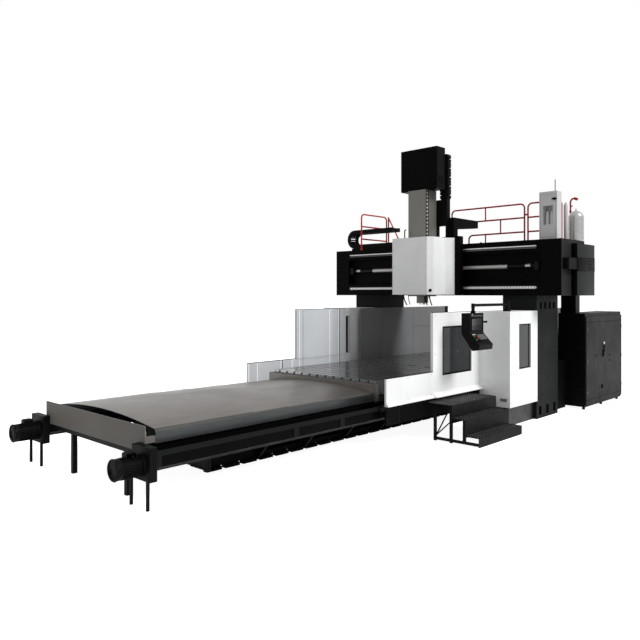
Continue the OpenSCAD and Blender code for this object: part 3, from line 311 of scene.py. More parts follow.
# %% [markdown]
# Bare metal. The way covers are rolled steel sheet with a fine brushed grain along the bed, the
# table is ground cast iron with cutter marks across it, and the rails are polished. A metal has
# almost no colour of its own, so its grain shows in the roughness and in a very fine bump. A second
# colour can take over where a face stands upright; on the way covers it is a painted reflection, a
# cooler grey on the upright faces than on the brownish tops.


# %% Bare metal
def bare_metal(name, colour, roughness, grain, depth=0.00004, metallic=0.85, stain=0.2, radius=0.003,
               upright=None):
    """Worked metal with a grain stretched along an axis, light stains and bright edges, and on upright faces
    a second colour that is a painted reflection.
    """
    finish = Finish(name)
    lines = finish.noise(0.004, 2.0, grain)
    broad = finish.noise(0.05, 2.0, tuple(1 + (g - 1) * 0.3 for g in grain))
    cloud = finish.noise(0.7, 5.0, (1, 1, 1), 0.6)
    tone = colour
    if upright:
        tone = finish.blend(finish.between(finish.facing_up(), 0.45, 0.9), upright, colour)
    worn = finish.between(cloud, 0.52, 0.75) * stain
    stained = finish.scaled(tone, finish.between(broad, 0.35, 0.65) * 0.18 - worn * 0.35 + 0.91)
    scuff = finish.edges(0.004) * finish.between(finish.noise(0.03, 3.0), 0.4, 0.6)
    bright = finish.blend(scuff * 0.5, stained, lighter(colour, 0.9))
    gloss = lines * 0.16 + finish.between(cloud, 0.3, 0.8) * 0.10 + (roughness - 0.13)
    return finish.set(
        base_color=bright, roughness=gloss, metallic=metallic,
        normal=finish.bump(lines, depth, radius),
    )


# %% [markdown]
# Glass, rubber and moulded plastic. The panes are thick safety glass with a grey tint, so what
# stands behind them shows only faintly. Rubber and the plastic of the cable chains are matt, with
# a fine moulded grain and paler edges.


# %% Glass, rubber and plastic
def tinted_glass(name, colour, alpha, specular):
    """Grey safety glass with faint wipe marks."""
    finish = Finish(name)
    wipe = finish.between(finish.noise(0.05, 4.0, (1, 1, 6), 1.0), 0.45, 0.8)
    tone = finish.blend(wipe * 0.4, colour, lighter(colour, 0.8))
    gloss = wipe * 0.12 + 0.04
    return finish.set(base_color=tone, roughness=gloss, specular=specular, alpha=alpha + wipe * 0.05)


def moulded(name, colour, roughness=0.6, specular=0.25, grain=0.003):
    """Moulded plastic or rubber with a fine grain and a pale bloom on its edges."""
    finish = Finish(name)
    cloud = finish.between(finish.noise(0.15, 4.0), 0.3, 0.75)
    tone = finish.blend(cloud, lighter(colour, -0.2), lighter(colour, 0.25))
    bloom = finish.edges(0.003) * 0.5
    edged = finish.blend(bloom, tone, tuple(part * 1.6 + 0.006 for part in colour))
    return finish.set(
        base_color=edged, roughness=cloud * 0.15 + (roughness - 0.05), specular=specular,
        normal=finish.bump(finish.noise(grain, 1.0), 0.0001, 0.002),
    )


# %% [markdown]
# The finishes of this machine. The colours are read from the photo: near-black castings,
# charcoal sheet metal, white guards, brown-grey steel covers and a grey ground table.

# %% Where a second colour lies
def outside_wall(finish):
    """The band and the straps on the outer side of the troughs."""
    return finish.over(finish.aside(), 1.4955)


def inner_sheet(finish):
    """The grey sheets between the bed and the columns."""
    raised = finish.over(finish.along("Z"), 0.640)
    return finish.under(finish.aside(), 1.5275) * raised * finish.under(finish.along("X"), 3.159)


def housing_base(finish):
    """The black foot of the housings, below the white sheets."""
    return finish.under(finish.along("Z"), 0.3425)


def painted_light_operator_end(finish):
    """Painted light: the beam's end and, at a fifth of the strength, the motor box's side, which face the
    sun, turn a lighter charcoal.
    """
    beam_end = finish.under(finish.along("Y"), -2.7415)
    box_side = finish.under(finish.along("Y"), -0.4395) * finish.over(finish.along("Z"), 4.45)
    return finish.maths("MAXIMUM", beam_end, box_side * 0.2)


def painted_light_cooler_front(finish):
    """Painted light: the sunlit front faces of the end box and of the riser turn grey."""
    cooler = finish.over(finish.along("X"), 0.836) * finish.under(finish.along("Y"), -2.8525)
    riser = finish.over(finish.along("X"), 2.079) * finish.under(finish.along("Y"), -2.3145)
    return finish.maths("MAXIMUM", cooler, riser)


def cabinet_side(finish):
    """The black side sheet of the electrical cabinet."""
    return finish.inside(finish.along("X"), 2.0, 2.0855)


def below_the_plate(finish):
    """The black legs and rails under the end plates."""
    return finish.under(finish.along("Z"), 0.5685)


FAR_POST_XS = (-3.285, -3.060, -2.455, -2.160, -1.970, -1.065, -0.780)
FAR_POST_HALF = 0.020


def far_posts(finish):
    """The folded posts between the far guard's panels, which keep the guard's white; the panels between them
    are greyed as painted shade.
    """
    found = 0
    for x in FAR_POST_XS:
        away = finish.maths("ABSOLUTE", finish.along("X") - x)
        found = finish.maths("MAXIMUM", found, finish.under(away, FAR_POST_HALF))
    return found


def above_the_unit(finish):
    """The dark rod on top of the unit cabinet."""
    return finish.over(finish.along("Z"), 4.2815)


# %% [markdown]
# Three parts show a pattern of their own. The rails are ground bright only along the tracks, and
# the lower one shows the plugged holes of its screws. The cross-feed screw is bright in its middle
# and for a short stretch near each end, and black elsewhere. The ram's side has a dark guide strip
# with a row of screws. All three are worked out from the place. For a row of dots, the fraction of a
# length over the pitch gives the place within one step, and the distance from its middle the dot.


# %% Rails and ram
def dots(finish, axis, pitch, cross, centre, radius):
    """1 within dots of a radius, in a row along one axis at a place on another."""
    step = finish.maths("FRACT", finish.along(axis) * (1 / pitch)) - 0.5
    ahead = step * pitch
    aside = finish.along(cross) - centre
    away = finish.maths("SQRT", ahead * ahead + aside * aside)
    return finish.under(away, radius)


def rail_steel():
    """Black rails with bright ground tracks and plugged screw holes."""
    finish = Finish("rail_steel")
    z = finish.along("Z")
    upper = finish.inside(z, 3.232, 3.250)
    lower = finish.inside(z, 2.450, 2.488)
    holes = dots(finish, "Y", 0.06, "Z", 2.469, 0.013)
    lines = finish.noise(0.004, 2.0, (1, 16, 1))
    bright = finish.maths("MAXIMUM", upper, lower) * (1 - holes * 0.75)
    tone = finish.blend(bright, (0.012, 0.012, 0.012), finish.scaled((0.66, 0.655, 0.64), lines * 0.3 + 0.8))
    return finish.set(
        base_color=tone, roughness=lines * 0.1 + 0.3, metallic=bright * 0.55,
        normal=finish.bump(lines, 0.00003, 0.002),
    )


def feed_screw():
    """A screw that is bright in its middle and for a short stretch near each end, and black elsewhere."""
    finish = Finish("feed_screw")
    away = finish.aside()
    bright = finish.under(away, 1.66)
    end = finish.inside(away, 2.03, 2.13) * finish.over(finish.along("Z"), 2.86)
    turns = finish.maths("SINE", finish.along("Y") * (2 * math.pi / 0.016))
    shine = finish.maths("MAXIMUM", bright, end) * (turns * 0.12 + 0.88)
    tone = finish.blend(shine, (0.003, 0.003, 0.003), (0.50, 0.49, 0.47))
    return finish.set(
        base_color=tone, roughness=turns * 0.05 + 0.35, metallic=shine * 0.5,
        normal=finish.bump(turns, 0.0005, 0.002), specular=0.08,
    )


def ram_iron():
    """Scraped grey iron with a dark guide strip and its row of screws."""
    finish = Finish("ram_grey")
    x = finish.along("X")
    side = finish.under(finish.along("Y"), -0.2125)
    strip = side * finish.under(x, -0.085) * finish.over(finish.along("Z"), 2.31)
    screws_row = dots(finish, "Z", 0.075, "X", -0.137, 0.020) * strip
    lines = finish.noise(0.006, 2.0, (1, 1, 14))
    cloud = finish.between(finish.noise(0.5, 4.0), 0.3, 0.75)
    iron = finish.scaled((0.160, 0.156, 0.142), lines * 0.2 + cloud * 0.15 + 0.82)
    with_strip = finish.blend(strip, iron, (0.030, 0.030, 0.029))
    tone = finish.blend(screws_row, with_strip, (0.60, 0.59, 0.57))
    return finish.set(
        base_color=tone, roughness=lines * 0.12 + 0.36, metallic=0.25,
        normal=finish.bump(lines, 0.00004, 0.003),
    )


# %% The machine's finishes
# The numbers of paint: roughness, specular, size and depth of the lumps, wear and dust.
# The numbers of bare_metal: roughness, grain along the axes, depth, metallic, stain, edge radius.
FINISHES = {
    "casting": paint("casting_black", (0.0022, 0.0022, 0.0024), 0.55, 0.03, 0.03, 0.0008, 0.03, 0.02),
    "column": paint("column_black", (0.0115, 0.0125, 0.0125), 0.5, 0.04, 0.03, 0.0008, 0.04, 0.02),
    # Painted light: the beam's second colour lightens the sunlit faces at the operator's end.
    "beam": paint(
        "beam_black", (0.0015, 0.0012, 0.0012), 0.5, 0.03, 0.03, 0.0008, 0.03, 0.0,
        (0.0185, 0.0185, 0.0190), painted_light_operator_end,
    ),
    # Painted light: the end units' second colour lightens their sunlit front faces.
    "end_units": paint(
        "end_unit_black", (0.0015, 0.0013, 0.0013), 0.5, 0.04, 0.006, 0.0002, 0.03, 0.0,
        (0.020, 0.0215, 0.021), painted_light_cooler_front,
    ),
    "charcoal": paint(
        "charcoal_sheet", (0.0185, 0.0185, 0.019), 0.5, 0.05, 0.006, 0.0001, 0.0, 0.03,
        (0.002, 0.0018, 0.0018), cabinet_side,
    ),
    "frames": paint(
        "frame_black", (0.0022, 0.0022, 0.0024), 0.5, 0.04, 0.004, 0.0001, 0.03, 0.02,
        (0.20, 0.203, 0.207), inner_sheet,
    ),
    "trough": paint(
        "trough_black", (0.0016, 0.0016, 0.0018), 0.55, 0.03, 0.008, 0.0003, 0.03, 0.02,
        (0.011, 0.0115, 0.012), outside_wall,
    ),
    "end_plate": paint(
        "end_plate_grey", (0.155, 0.146, 0.135), 0.45, 0.06, 0.008, 0.0002, 0.1, 0.0,
        (0.003, 0.003, 0.003), below_the_plate,
    ),
    "drive": paint("drive_black", (0.0022, 0.0023, 0.0023), 0.5, 0.06, 0.01, 0.0003, 0.05, 0.03),
    "drive_grey": paint("drive_grey", (0.006, 0.0065, 0.0065), 0.45, 0.10, 0.01, 0.0003, 0.1, 0.05),
    "white": paint(
        "white_panel", (0.90, 0.905, 0.905), 0.38, 0.35, 0.004, 0.0001, 0.06, 0.0,
        (0.006, 0.006, 0.006), housing_base,
    ),
    # Painted shade: the far guard's panels are greyed against the white of its posts and of the near guard.
    "far_panels_painted_shade": paint(
        "far_guard_white_painted_shade", (0.60, 0.62, 0.64), 0.36, 0.3, 0.004, 0.0001, 0.05, 0.0,
        (0.92, 0.92, 0.92), far_posts,
    ),
    "unit": paint(
        "unit_grey", (0.60, 0.60, 0.605), 0.4, 0.35, 0.004, 0.0001, 0.05, 0.0,
        (0.006, 0.006, 0.006), above_the_unit,
    ),
    "mid_grey": paint("mid_grey", (0.17, 0.172, 0.175), 0.42, 0.3, 0.005, 0.0001, 0.2, 0.0),
    "red": paint("rail_red", (0.42, 0.022, 0.018), 0.4, 0.15, 0.006, 0.0001, 0.3, 0.0),
    "steps": paint("step_black", (0.004, 0.004, 0.0042), 0.5, 0.06, 0.006, 0.0002, 0.05, 0.1),
    "green": paint("key_green", (0.03, 0.30, 0.08), 0.4, 0.4, 0.004, 0.0001, 0.1, 0.0),
    # Painted reflection: the covers' upright faces take a cooler grey than their brownish tops.
    "cover": bare_metal(
        "cover_steel", (0.088, 0.076, 0.065), 0.34, (24, 1, 1), 0.00003, 0.7, 0.2, 0.003,
        (0.060, 0.065, 0.067),
    ),
    "gutter": bare_metal("gutter_steel", (0.17, 0.160, 0.147), 0.4, (1, 12, 1), 0.00003, 0.6, 0.2),
    "table": bare_metal("table_iron", (0.265, 0.268, 0.275), 0.22, (1, 18, 1), 0.00003, 0.95, 0.4),
    "screw": feed_screw(),
    "polished": bare_metal("polished_steel", (0.62, 0.62, 0.61), 0.24, (1, 16, 1), 0.00002, 1.0, 0.1),
    "ram": ram_iron(),
    "bottle": bare_metal("bottle_silver", (0.40, 0.41, 0.40), 0.30, (1, 1, 1), 0.00001, 0.75, 0.1, 0.001),
    "rail": rail_steel(),
    "zinc": bare_metal("zinc_bolt", (0.46, 0.45, 0.42), 0.38, (1, 1, 1), 0.00003, 0.95, 0.3, 0.001),
    "black_bolt": bare_metal("black_bolt", (0.03, 0.03, 0.032), 0.42, (1, 1, 1), 0.00003, 0.6, 0.2, 0.001),
    "pane": tinted_glass("window_pane", (0.026, 0.028, 0.030), 0.93, 0.2),
    "screen": tinted_glass("screen_glass", (0.004, 0.005, 0.006), 1.0, 0.12),
    "rubber": moulded("black_rubber", (0.003, 0.003, 0.003), 0.75, 0.04),
    "chain": moulded("chain_plastic", (0.003, 0.003, 0.0032), 0.6, 0.06),
    "console": moulded("console_plastic", (0.0035, 0.0035, 0.0035), 0.5, 0.06),
    "button": moulded("button_white", (0.62, 0.62, 0.60), 0.4, 0.4),
}
print("finishes:", len(FINISHES))

# %% [markdown]
# Every CAD node gets its own finish in its material slots, and its mesh and place stay untouched.
# All of them are shown but the bottle, which a smoother one replaces further down.

# %% Finishes of the CAD nodes
COVERS = [f"{end}_cover_{number}" for end in ("front", "rear") for number in range(1, 6)]
WORN_BY = {
    "casting": ["bed"],
    "column": ["near_column", "far_column"],
    "beam": ["crossbeam", "saddle", "ram_motor_box", "saddle_bracket"],
    "end_units": ["beam_end_units"],
    "charcoal": ["electrical_cabinet", "cabinet_door_front", "cabinet_door_rear"],
    "steps": ["operator_steps"],
    "frames": ["guard_frames"],
    "trough": ["chip_troughs"],
    "end_plate": ["end_frames"],
    "drive": ["chip_conveyors"],
    "white": ["near_guard", "near_housing", "far_housing", "head_cover"],
    "far_panels_painted_shade": ["far_guard"],
    "unit": ["unit_cabinet"],
    "red": ["handrail"],
    "cover": COVERS,
    "gutter": ["table_end_plates"],
    "table": ["table"],
    "screw": ["beam_screw"],
    "polished": ["spindle"],
    "rail": ["beam_rails"],
    "ram": ["ram"],
    "bottle": ["gas_bottle"],
    "pane": ["window_glass"],
    "chain": ["ram_chain_tower", "beam_chain"],
    "console": ["pendant_console", "pendant_arm"],
}


def dress(node, finish):
    """Puts a finish in every material slot of a CAD node."""
    piece = frame["nodes"][node]
    if not piece.material_slots:
        piece.data.materials.append(finish)
    for slot in piece.material_slots:
        slot.material = finish


for finish_name, nodes in WORN_BY.items():
    for node in nodes:
        dress(node, FINISHES[finish_name])
left_bare = sorted(set(frame["nodes"]) - {node for nodes in WORN_BY.values() for node in nodes})
print("nodes without a finish:", left_bare)

# %% [markdown]
# Modelling helpers. Each small piece starts as a primitive at its size and place, is shaped in edit
# mode on the faces that its normals pick out, and gets a rounded edge from a Bevel modifier, which
# catches the light as a real edge does. At the end its place goes into its mesh, and it gets its
# name, its finish and the body that it rides on.


def deselect():
    """Leaves nothing selected."""
    bpy.ops.object.select_all(action="DESELECT")


def only(piece):
    """Selects one piece and makes it the active one."""
    deselect()
    piece.select_set(True)
    bpy.context.view_layer.objects.active = piece
    return piece


def modify(piece, kind, **settings):
    """Adds a modifier, sets it up and applies it."""
    only(piece)
    modifier = piece.modifiers.new(kind.lower(), kind)
    for name, value in settings.items():
        setattr(modifier, name, value)
    bpy.ops.object.modifier_apply(modifier=modifier.name)
    return piece


def rounded(piece, width=0.003, segments=2):
    """Rounds the sharp edges."""
    if width:
        modify(piece, "BEVEL", width=width, segments=segments, limit_method="ANGLE")
    return piece


def block(low, high, bevel=0.003):
    """A box between two corners with rounded edges."""
    low, high = Vector(low), Vector(high)
    deselect()
    bpy.ops.mesh.primitive_cube_add(size=1, location=(low + high) / 2)
    piece = bpy.context.object
    piece.scale = high - low
    bpy.ops.object.transform_apply()
    return rounded(piece, bevel)


def rod(start, end, radius, sides=24, bevel=0.002):
    """A round bar from one point to another."""
    start, end = Vector(start), Vector(end)
    deselect()
    bpy.ops.mesh.primitive_cylinder_add(vertices=sides, radius=radius, depth=(end - start).length)
    piece = bpy.context.object
    piece.rotation_euler = (end - start).to_track_quat("Z", "Y").to_euler()
    piece.location = (start + end) / 2
    bpy.ops.object.transform_apply()
    return rounded(piece, bevel)


def tube(points, radius, sides=3):
    """A bent pipe along smooth points, made as a curve and turned into a mesh."""
    deselect()
    bpy.ops.curve.primitive_bezier_curve_add()
    curve = bpy.context.object
    curve.data.dimensions = "3D"
    spline = curve.data.splines[0]
    spline.bezier_points.add(len(points) - 2)
    for knot, point in zip(spline.bezier_points, points):
        knot.handle_left_type = knot.handle_right_type = "AUTO"
        knot.co = point
    curve.data.bevel_depth = radius
    curve.data.bevel_resolution = sides
    curve.data.use_fill_caps = True
    bpy.ops.object.convert(target="MESH")
    return bpy.context.object


def work_faces(piece, wanted):
    """Opens edit mode with only the wanted faces selected."""
    only(piece)
    bpy.ops.object.mode_set(mode="EDIT")
    bpy.ops.mesh.select_mode(type="FACE")
    bpy.ops.mesh.select_all(action="DESELECT")
    bpy.ops.object.mode_set(mode="OBJECT")
    for face in piece.data.polygons:
        face.select = wanted(face)
    bpy.ops.object.mode_set(mode="EDIT")


def looks(direction):
    """A test that picks the faces that look in a direction."""
    direction = Vector(direction).normalized()
    return lambda face: face.normal.dot(direction) > 0.9


def sunk(piece, direction, border, depth):
    """Insets the flat faces that look one way and pushes them in; a negative depth raises them."""
    work_faces(piece, looks(direction))
    bpy.ops.mesh.inset(thickness=border)
    move = Vector(direction).normalized() * -depth
    bpy.ops.mesh.extrude_region_move(TRANSFORM_OT_translate={"value": move})
    bpy.ops.object.mode_set(mode="OBJECT")
    return piece


def window_ring(low, high, direction, border, bevel=0.002):
    """A rectangular frame with an open middle, seen from a direction."""
    piece = block(low, high, 0)
    both = looks(direction), looks(-Vector(direction))
    work_faces(piece, lambda face: both[0](face) or both[1](face))
    bpy.ops.mesh.inset(thickness=border)
    bpy.ops.mesh.bridge_edge_loops()
    bpy.ops.mesh.select_all(action="SELECT")
    bpy.ops.mesh.normals_make_consistent(inside=False)
    bpy.ops.object.mode_set(mode="OBJECT")
    return rounded(piece, bevel)


def joined(pieces):
    """Joins pieces into one mesh with its place applied."""
    deselect()
    for piece in pieces:
        piece.select_set(True)
    bpy.context.view_layer.objects.active = pieces[0]
    if len(pieces) > 1:
        bpy.ops.object.join()
    bpy.ops.object.transform_apply()
    return pieces[0]


def facing(normal, up=(0, 0, 1)):
    """The turn that takes a piece's +Z to a normal and keeps its +Y upward."""
    ahead = Vector(normal).normalized()
    side = Vector(up).cross(ahead)
    if side.length < 0.01:
        side = Vector((1, 0, 0))
    side.normalize()
    return Matrix((side, ahead.cross(side), ahead)).transposed().to_4x4()


def placed(piece, places):
    """Copies a piece to each place, given as a matrix, and joins the copies into one mesh."""
    twins = []
    for place in places:
        twin = piece.copy()
        twin.data = piece.data.copy()
        twin.matrix_world = place
        bpy.context.collection.objects.link(twin)
        twins.append(twin)
    bpy.data.objects.remove(piece)
    return joined(twins)


def copied(piece, spots, turn=None):
    """Copies a piece to each spot, all turned alike, and joins the copies."""
    return placed(piece, [Matrix.Translation(spot) @ (turn or Matrix.Identity(4)) for spot in spots])


def row(start, end, count):
    """Points at even steps from start to end, both included."""
    start, end = Vector(start), Vector(end)
    return [start.lerp(end, step / max(count - 1, 1)) for step in range(count)]


def settle(pieces, name, finish, body="frame"):
    """Joins, names and finishes a piece, and makes it ride on its body."""
    piece = joined(pieces if isinstance(pieces, list) else [pieces])
    piece.name = name
    piece.data.name = name
    piece.data.materials.clear()
    piece.data.materials.append(FINISHES[finish])
    only(piece)
    bpy.ops.object.shade_smooth_by_angle(angle=math.radians(35))
    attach(piece, body)
    MADE.append(piece)
    return piece


MADE = []
print("helpers ready")

# %% [markdown]
# Bolts. A cap screw's head is a short cylinder: its top is inset and raised for the chamfer, then
# inset again and pushed in for the socket. Every set of screws is copies of one such head.


# %% Bolts
def cap_screw(radius, sides=12):
    """The head of a cap screw that looks along +Z, with its seat at the origin."""
    deselect()
    height = radius * 0.8
    bpy.ops.mesh.primitive_cylinder_add(
        vertices=sides, radius=radius, depth=height, location=(0, 0, height / 2)
    )
    screw = bpy.context.object
    bpy.ops.object.transform_apply()
    work_faces(screw, looks((0, 0, 1)))
    bpy.ops.mesh.inset(thickness=radius * 0.12)
    bpy.ops.transform.translate(value=(0, 0, radius * 0.12))
    bpy.ops.mesh.inset(thickness=radius * 0.36)
    bpy.ops.mesh.extrude_region_move(TRANSFORM_OT_translate={"value": (0, 0, -radius * 0.6)})
    bpy.ops.object.mode_set(mode="OBJECT")
    return screw


def screws(spots, normal, radius):
    """A set of cap screws that stand on a surface with this normal."""
    return copied(cap_screw(radius), spots, facing(normal))


def mirrored(spots):
    """The spots' mirror images on the other side of the bed."""
    return [Vector((spot[0], -spot[1], spot[2])) for spot in spots]


def both_sides(spots):
    """The spots with their mirror images."""
    return spots + mirrored(spots)


def wall_screws(spots, radius):
    """Cap screws on walls of the operator's side, and the same on the far side."""
    return [screws(spots, (0, -1, 0), radius), screws(mirrored(spots), (0, 1, 0), radius)]


# %% [markdown]
# The bed. A long bed is levelled on wedges: an iron shoe about every 300 mm along each side of the
# foot, with its adjusting screw in front. Lubrication pipes run along its side under the troughs,
# and a dark grey cover closes the pocket in its front end.

# %% The bed's small parts
bed_low, bed_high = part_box("bed")
FOOT_HALF = 0.705
SHOE_PITCH = 0.30
shoe_count = int((bed_high.x - bed_low.x - 0.3) / SHOE_PITCH) + 1
shoe_y = -FOOT_HALF - 0.02
shoe_row = row((bed_low.x + 0.15, shoe_y, 0), (bed_high.x - 0.15, shoe_y, 0), shoe_count)
shoe = sunk(block((-0.125, -0.020, 0.0), (0.125, 0.070, 0.047), 0.006), (0, -1, 0), 0.012, 0.003)
wedge = block((-0.060, -0.034, 0.004), (0.060, 0.055, 0.036), 0.006)
settle(copied(joined([shoe, wedge]), both_sides(shoe_row)), "levelling_shoes", "casting")
stud = rod((0, 0, 0.02), (0, 0, 0.085), 0.011, 12)
nut = rod((0, 0, 0.050), (0, 0, 0.068), 0.020, 6, 0.001)
stud_row = [spot + Vector((0, -0.026, -0.014)) for spot in shoe_row]
settle(copied(joined([stud, nut]), both_sides(stud_row)), "levelling_screws", "rubber")

PIPE_YS = (-0.762, -0.790)
pipes = [
    rod((bed_low.x + 0.4, y * side, 0.315), (bed_high.x - 0.4, y * side, 0.315), 0.009, 10)
    for y in PIPE_YS for side in (1, -1)
]
settle(pipes, "bed_pipes", "drive_grey")
clip = block((-0.02, -0.05, -0.018), (0.02, 0.06, 0.018), 0.004)
clip_row = row((bed_low.x + 0.5, -0.76, 0.315), (bed_high.x - 0.5, -0.76, 0.315), 16)
settle(copied(clip, both_sides(clip_row)), "pipe_clips", "casting")

pocket_cover = sunk(block((-6.020, -0.863, 0.046), (-5.988, -0.445, 0.340)), (-1, 0, 0), 0.02, 0.003)
settle(pocket_cover, "bed_pocket_cover", "charcoal")
corners = [(-6.020, y, z) for y in (-0.850, -0.458) for z in (0.059, 0.327)]
settle(screws(corners, (-1, 0, 0), 0.007), "pocket_cover_screws", "black_bolt")
print("levelling shoes:", 2 * shoe_count)

# %% [markdown]
# The ends of the bed. The rear end plate is screwed on along its edges. At the front, a chip
# conveyor's motor stands on either side. The motor is a finned, fan-cooled one: thin fins stand
# round its body, a plain cowl with a grille closes the fan, and a terminal box sits on top.

# %% End plates and conveyor drives
plates_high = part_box("end_frames")[1]
plate_edge = []
for z in (0.60, 0.835):
    plate_edge += row((plates_high.x, -1.225, z), (plates_high.x, 1.225, z), 11)
settle(screws(plate_edge, (1, 0, 0), 0.010), "end_plate_screws", "black_bolt")

MOTOR_AXIS = Vector((0, 1.34, 0.468))
MOTOR_R = 0.107
drives_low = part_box("chip_conveyors")[0]


def motor_fins(count=28):
    """Cooling fins round a motor that lies along X, centred on its axis."""
    fin = block((-7.560, -0.002, MOTOR_R - 0.004), (-7.330, 0.002, MOTOR_R + 0.013), 0)
    return placed(fin, [Matrix.Rotation(2 * math.pi * step / count, 4, "X") for step in range(count)])


def fan_cowl():
    """The fan's cowl with a ringed grille in its end."""
    cowl = rod((drives_low.x, 0, 0), (-7.565, 0, 0), MOTOR_R + 0.011, 32, 0.006)
    for _ in range(3):
        sunk(cowl, (-1, 0, 0), 0.012, 0.004)
        sunk(cowl, (-1, 0, 0), 0.008, -0.004)
    return cowl


def terminal_box():
    """The box with the motor's terminals, its lid and its cable gland."""
    body = block((-7.50, -0.05, MOTOR_R - 0.01), (-7.38, 0.05, MOTOR_R + 0.055))
    sunk(body, (0, 0, 1), 0.008, -0.006)
    gland = rod((-7.44, -0.08, MOTOR_R + 0.02), (-7.44, -0.04, MOTOR_R + 0.02), 0.013, 12)
    return joined([body, gland])


both_axes = [Vector((0, side * MOTOR_AXIS.y, MOTOR_AXIS.z)) for side in (-1, 1)]
settle(copied(motor_fins(), both_axes), "motor_fins", "drive")
settle(copied(fan_cowl(), both_axes), "motor_fan_cowls", "drive")
settle(copied(terminal_box(), both_axes), "motor_terminal_boxes", "drive")
print("motors finished:", len(both_axes))

# %% [markdown]
# Guards and housings. The white sheets are folded panels, so their joints show as thin dark lines,
# and each window sits in a black rubber gasket. The panes stay the CAD model's. The guards are
# screwed on from outside.

# %% Guards and housings
GASKET = 0.016
SEAM = 0.006
LOW_TOP = 1.056
HIGH_TOP = 2.036
GUARD_FACE = 1.636
GUARD_INNER = 1.600
HOUSING_FACE = 2.235


def seam(low, high):
    """A dark joint line between two sheets."""
    return block(low, high, 0)


guard_seams = []
gaskets = []
for side in (-1, 1):
    inner = side * GUARD_INNER
    for xs, top in (((-3.042, -2.436, -2.141), LOW_TOP), ((-1.987, -1.047, -0.763), HIGH_TOP)):
        for x in xs:
            guard_seams.append(seam((x - SEAM, inner - 0.003, 0.66), (x + SEAM, inner + 0.003, top)))
    fold = side * 1.588
    guard_seams.append(seam((-2.057, fold - 0.02, LOW_TOP), (-0.560, fold - 0.016, LOW_TOP + 0.002)))
    for x0, x1, z in ((-3.300, -2.053, LOW_TOP), (-2.053, -0.560, HIGH_TOP)):
        guard_seams.append(seam((x0, side * 1.598, z - 0.001), (x1, side * 1.637, z + 0.007)))
for y0, y1 in ((-1.640, -1.636), (-1.601, -1.597)):
    low = (-1.755 - GASKET, y0, 0.996 - GASKET)
    high = (-0.861 + GASKET, y1, 1.785 + GASKET)
    gaskets.append(window_ring(low, high, (0, 1, 0), GASKET * 1.5))
for y0, y1 in ((-2.237, -2.228), (2.228, 2.237)):
    gaskets.append(window_ring((-0.216, y0, 1.000), (0.231, y1, 1.807), (0, 1, 0), GASKET))
gaskets.append(window_ring((-0.560, 1.594, 1.081), (-0.447, 1.601, 1.874), (0, 1, 0), 0.010))
settle(guard_seams, "guard_joint_lines", "rubber")
settle(gaskets, "window_gaskets", "rubber")

panel_screws = [
    Vector((x, -GUARD_FACE, z)) for x in (-3.26, -2.75, -2.10, -1.99, -1.30, -0.60)
    for z in ((0.69, 1.02) if x < -2.05 else (0.69, 1.35, 1.99))
]
settle(wall_screws(panel_screws, 0.007), "guard_screws", "zinc")
housing_screws = [Vector((x, -HOUSING_FACE, z)) for x in (-0.52, 0.47) for z in (0.42, 0.95, 1.48, 1.99)]
settle(wall_screws(housing_screws, 0.006), "housing_screws", "zinc")
slat = block((-0.5625, -0.062, 0.0), (-0.5585, 0.062, 0.004), 0.001)
slat_row = row((0, -2.110, 0.446), (0, -2.110, 0.490), 5)
settle(copied(slat, both_sides(slat_row)), "housing_vent_slats", "rubber")
print("gaskets:", len(gaskets), "guard screws:", 2 * len(panel_screws))

# %% [markdown]
# The head. Its white cover is a folded sheet with a black plug in its cut corner. Under it rigid
# coolant pipes and a red air pipe come down beside the spindle, whose nose carries two drive keys
# inside a ring of screws. Two of the pipes ride with the ram; the far one, the air pipe and the
# cover ride with the saddle.

# %% The head's small parts
cover_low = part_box("head_cover")[0]
PLUG_PLACE = Vector((-0.3945, -0.4575, 2.420))


def bent_pipe(points, radius):
    """A rigid bent pipe with a nut on its upper end."""
    top = Vector(points[0])
    return joined([tube(points, radius), rod(top, top - Vector((0, 0, 0.03)), radius * 1.7, 6, 0.002)])


cover_screws = [Vector((cover_low.x, y, z)) for z in (2.40, 2.90, 3.41) for y in (-0.38, 0.38)]
settle(screws(cover_screws, (-1, 0, 0), 0.007), "head_cover_screws", "zinc", "saddle")
plug = sunk(rod((0, 0, -0.002), (0, 0, 0.012), 0.030, 24, 0.003), (0, 0, 1), 0.006, 0.004)
settle(copied(plug, [PLUG_PLACE], facing((-1, -1, 0))), "head_cover_plug", "rubber", "saddle")
hook_path = [(-0.30, 0.225, 3.470), (-0.30, 0.225, 3.600), (-0.30, 0.218, 3.645), (-0.30, 0.190, 3.652)]
settle(tube(hook_path, 0.012), "head_cover_hook", "rubber", "saddle")

nose_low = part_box("spindle")[0]
KEY_X = 0.048
keys = [
    block((x - 0.012, -0.012, nose_low.z), (x + 0.012, 0.012, nose_low.z + 0.02), 0.002)
    for x in (KEY_X, -KEY_X)
]
FLANGE_R = 0.1
FLANGE_Z = 2.1652
FLANGE_SCREWS = 8
flange_spots = []
for step in range(FLANGE_SCREWS):
    angle = 2 * math.pi * step / FLANGE_SCREWS
    flange_spots.append(Vector((math.cos(angle) * FLANGE_R, math.sin(angle) * FLANGE_R, FLANGE_Z)))
settle(screws(flange_spots, (0, 0, -1), 0.008), "spindle_flange_screws", "black_bolt", "ram")
settle(keys, "spindle_drive_keys", "black_bolt", "spindle")

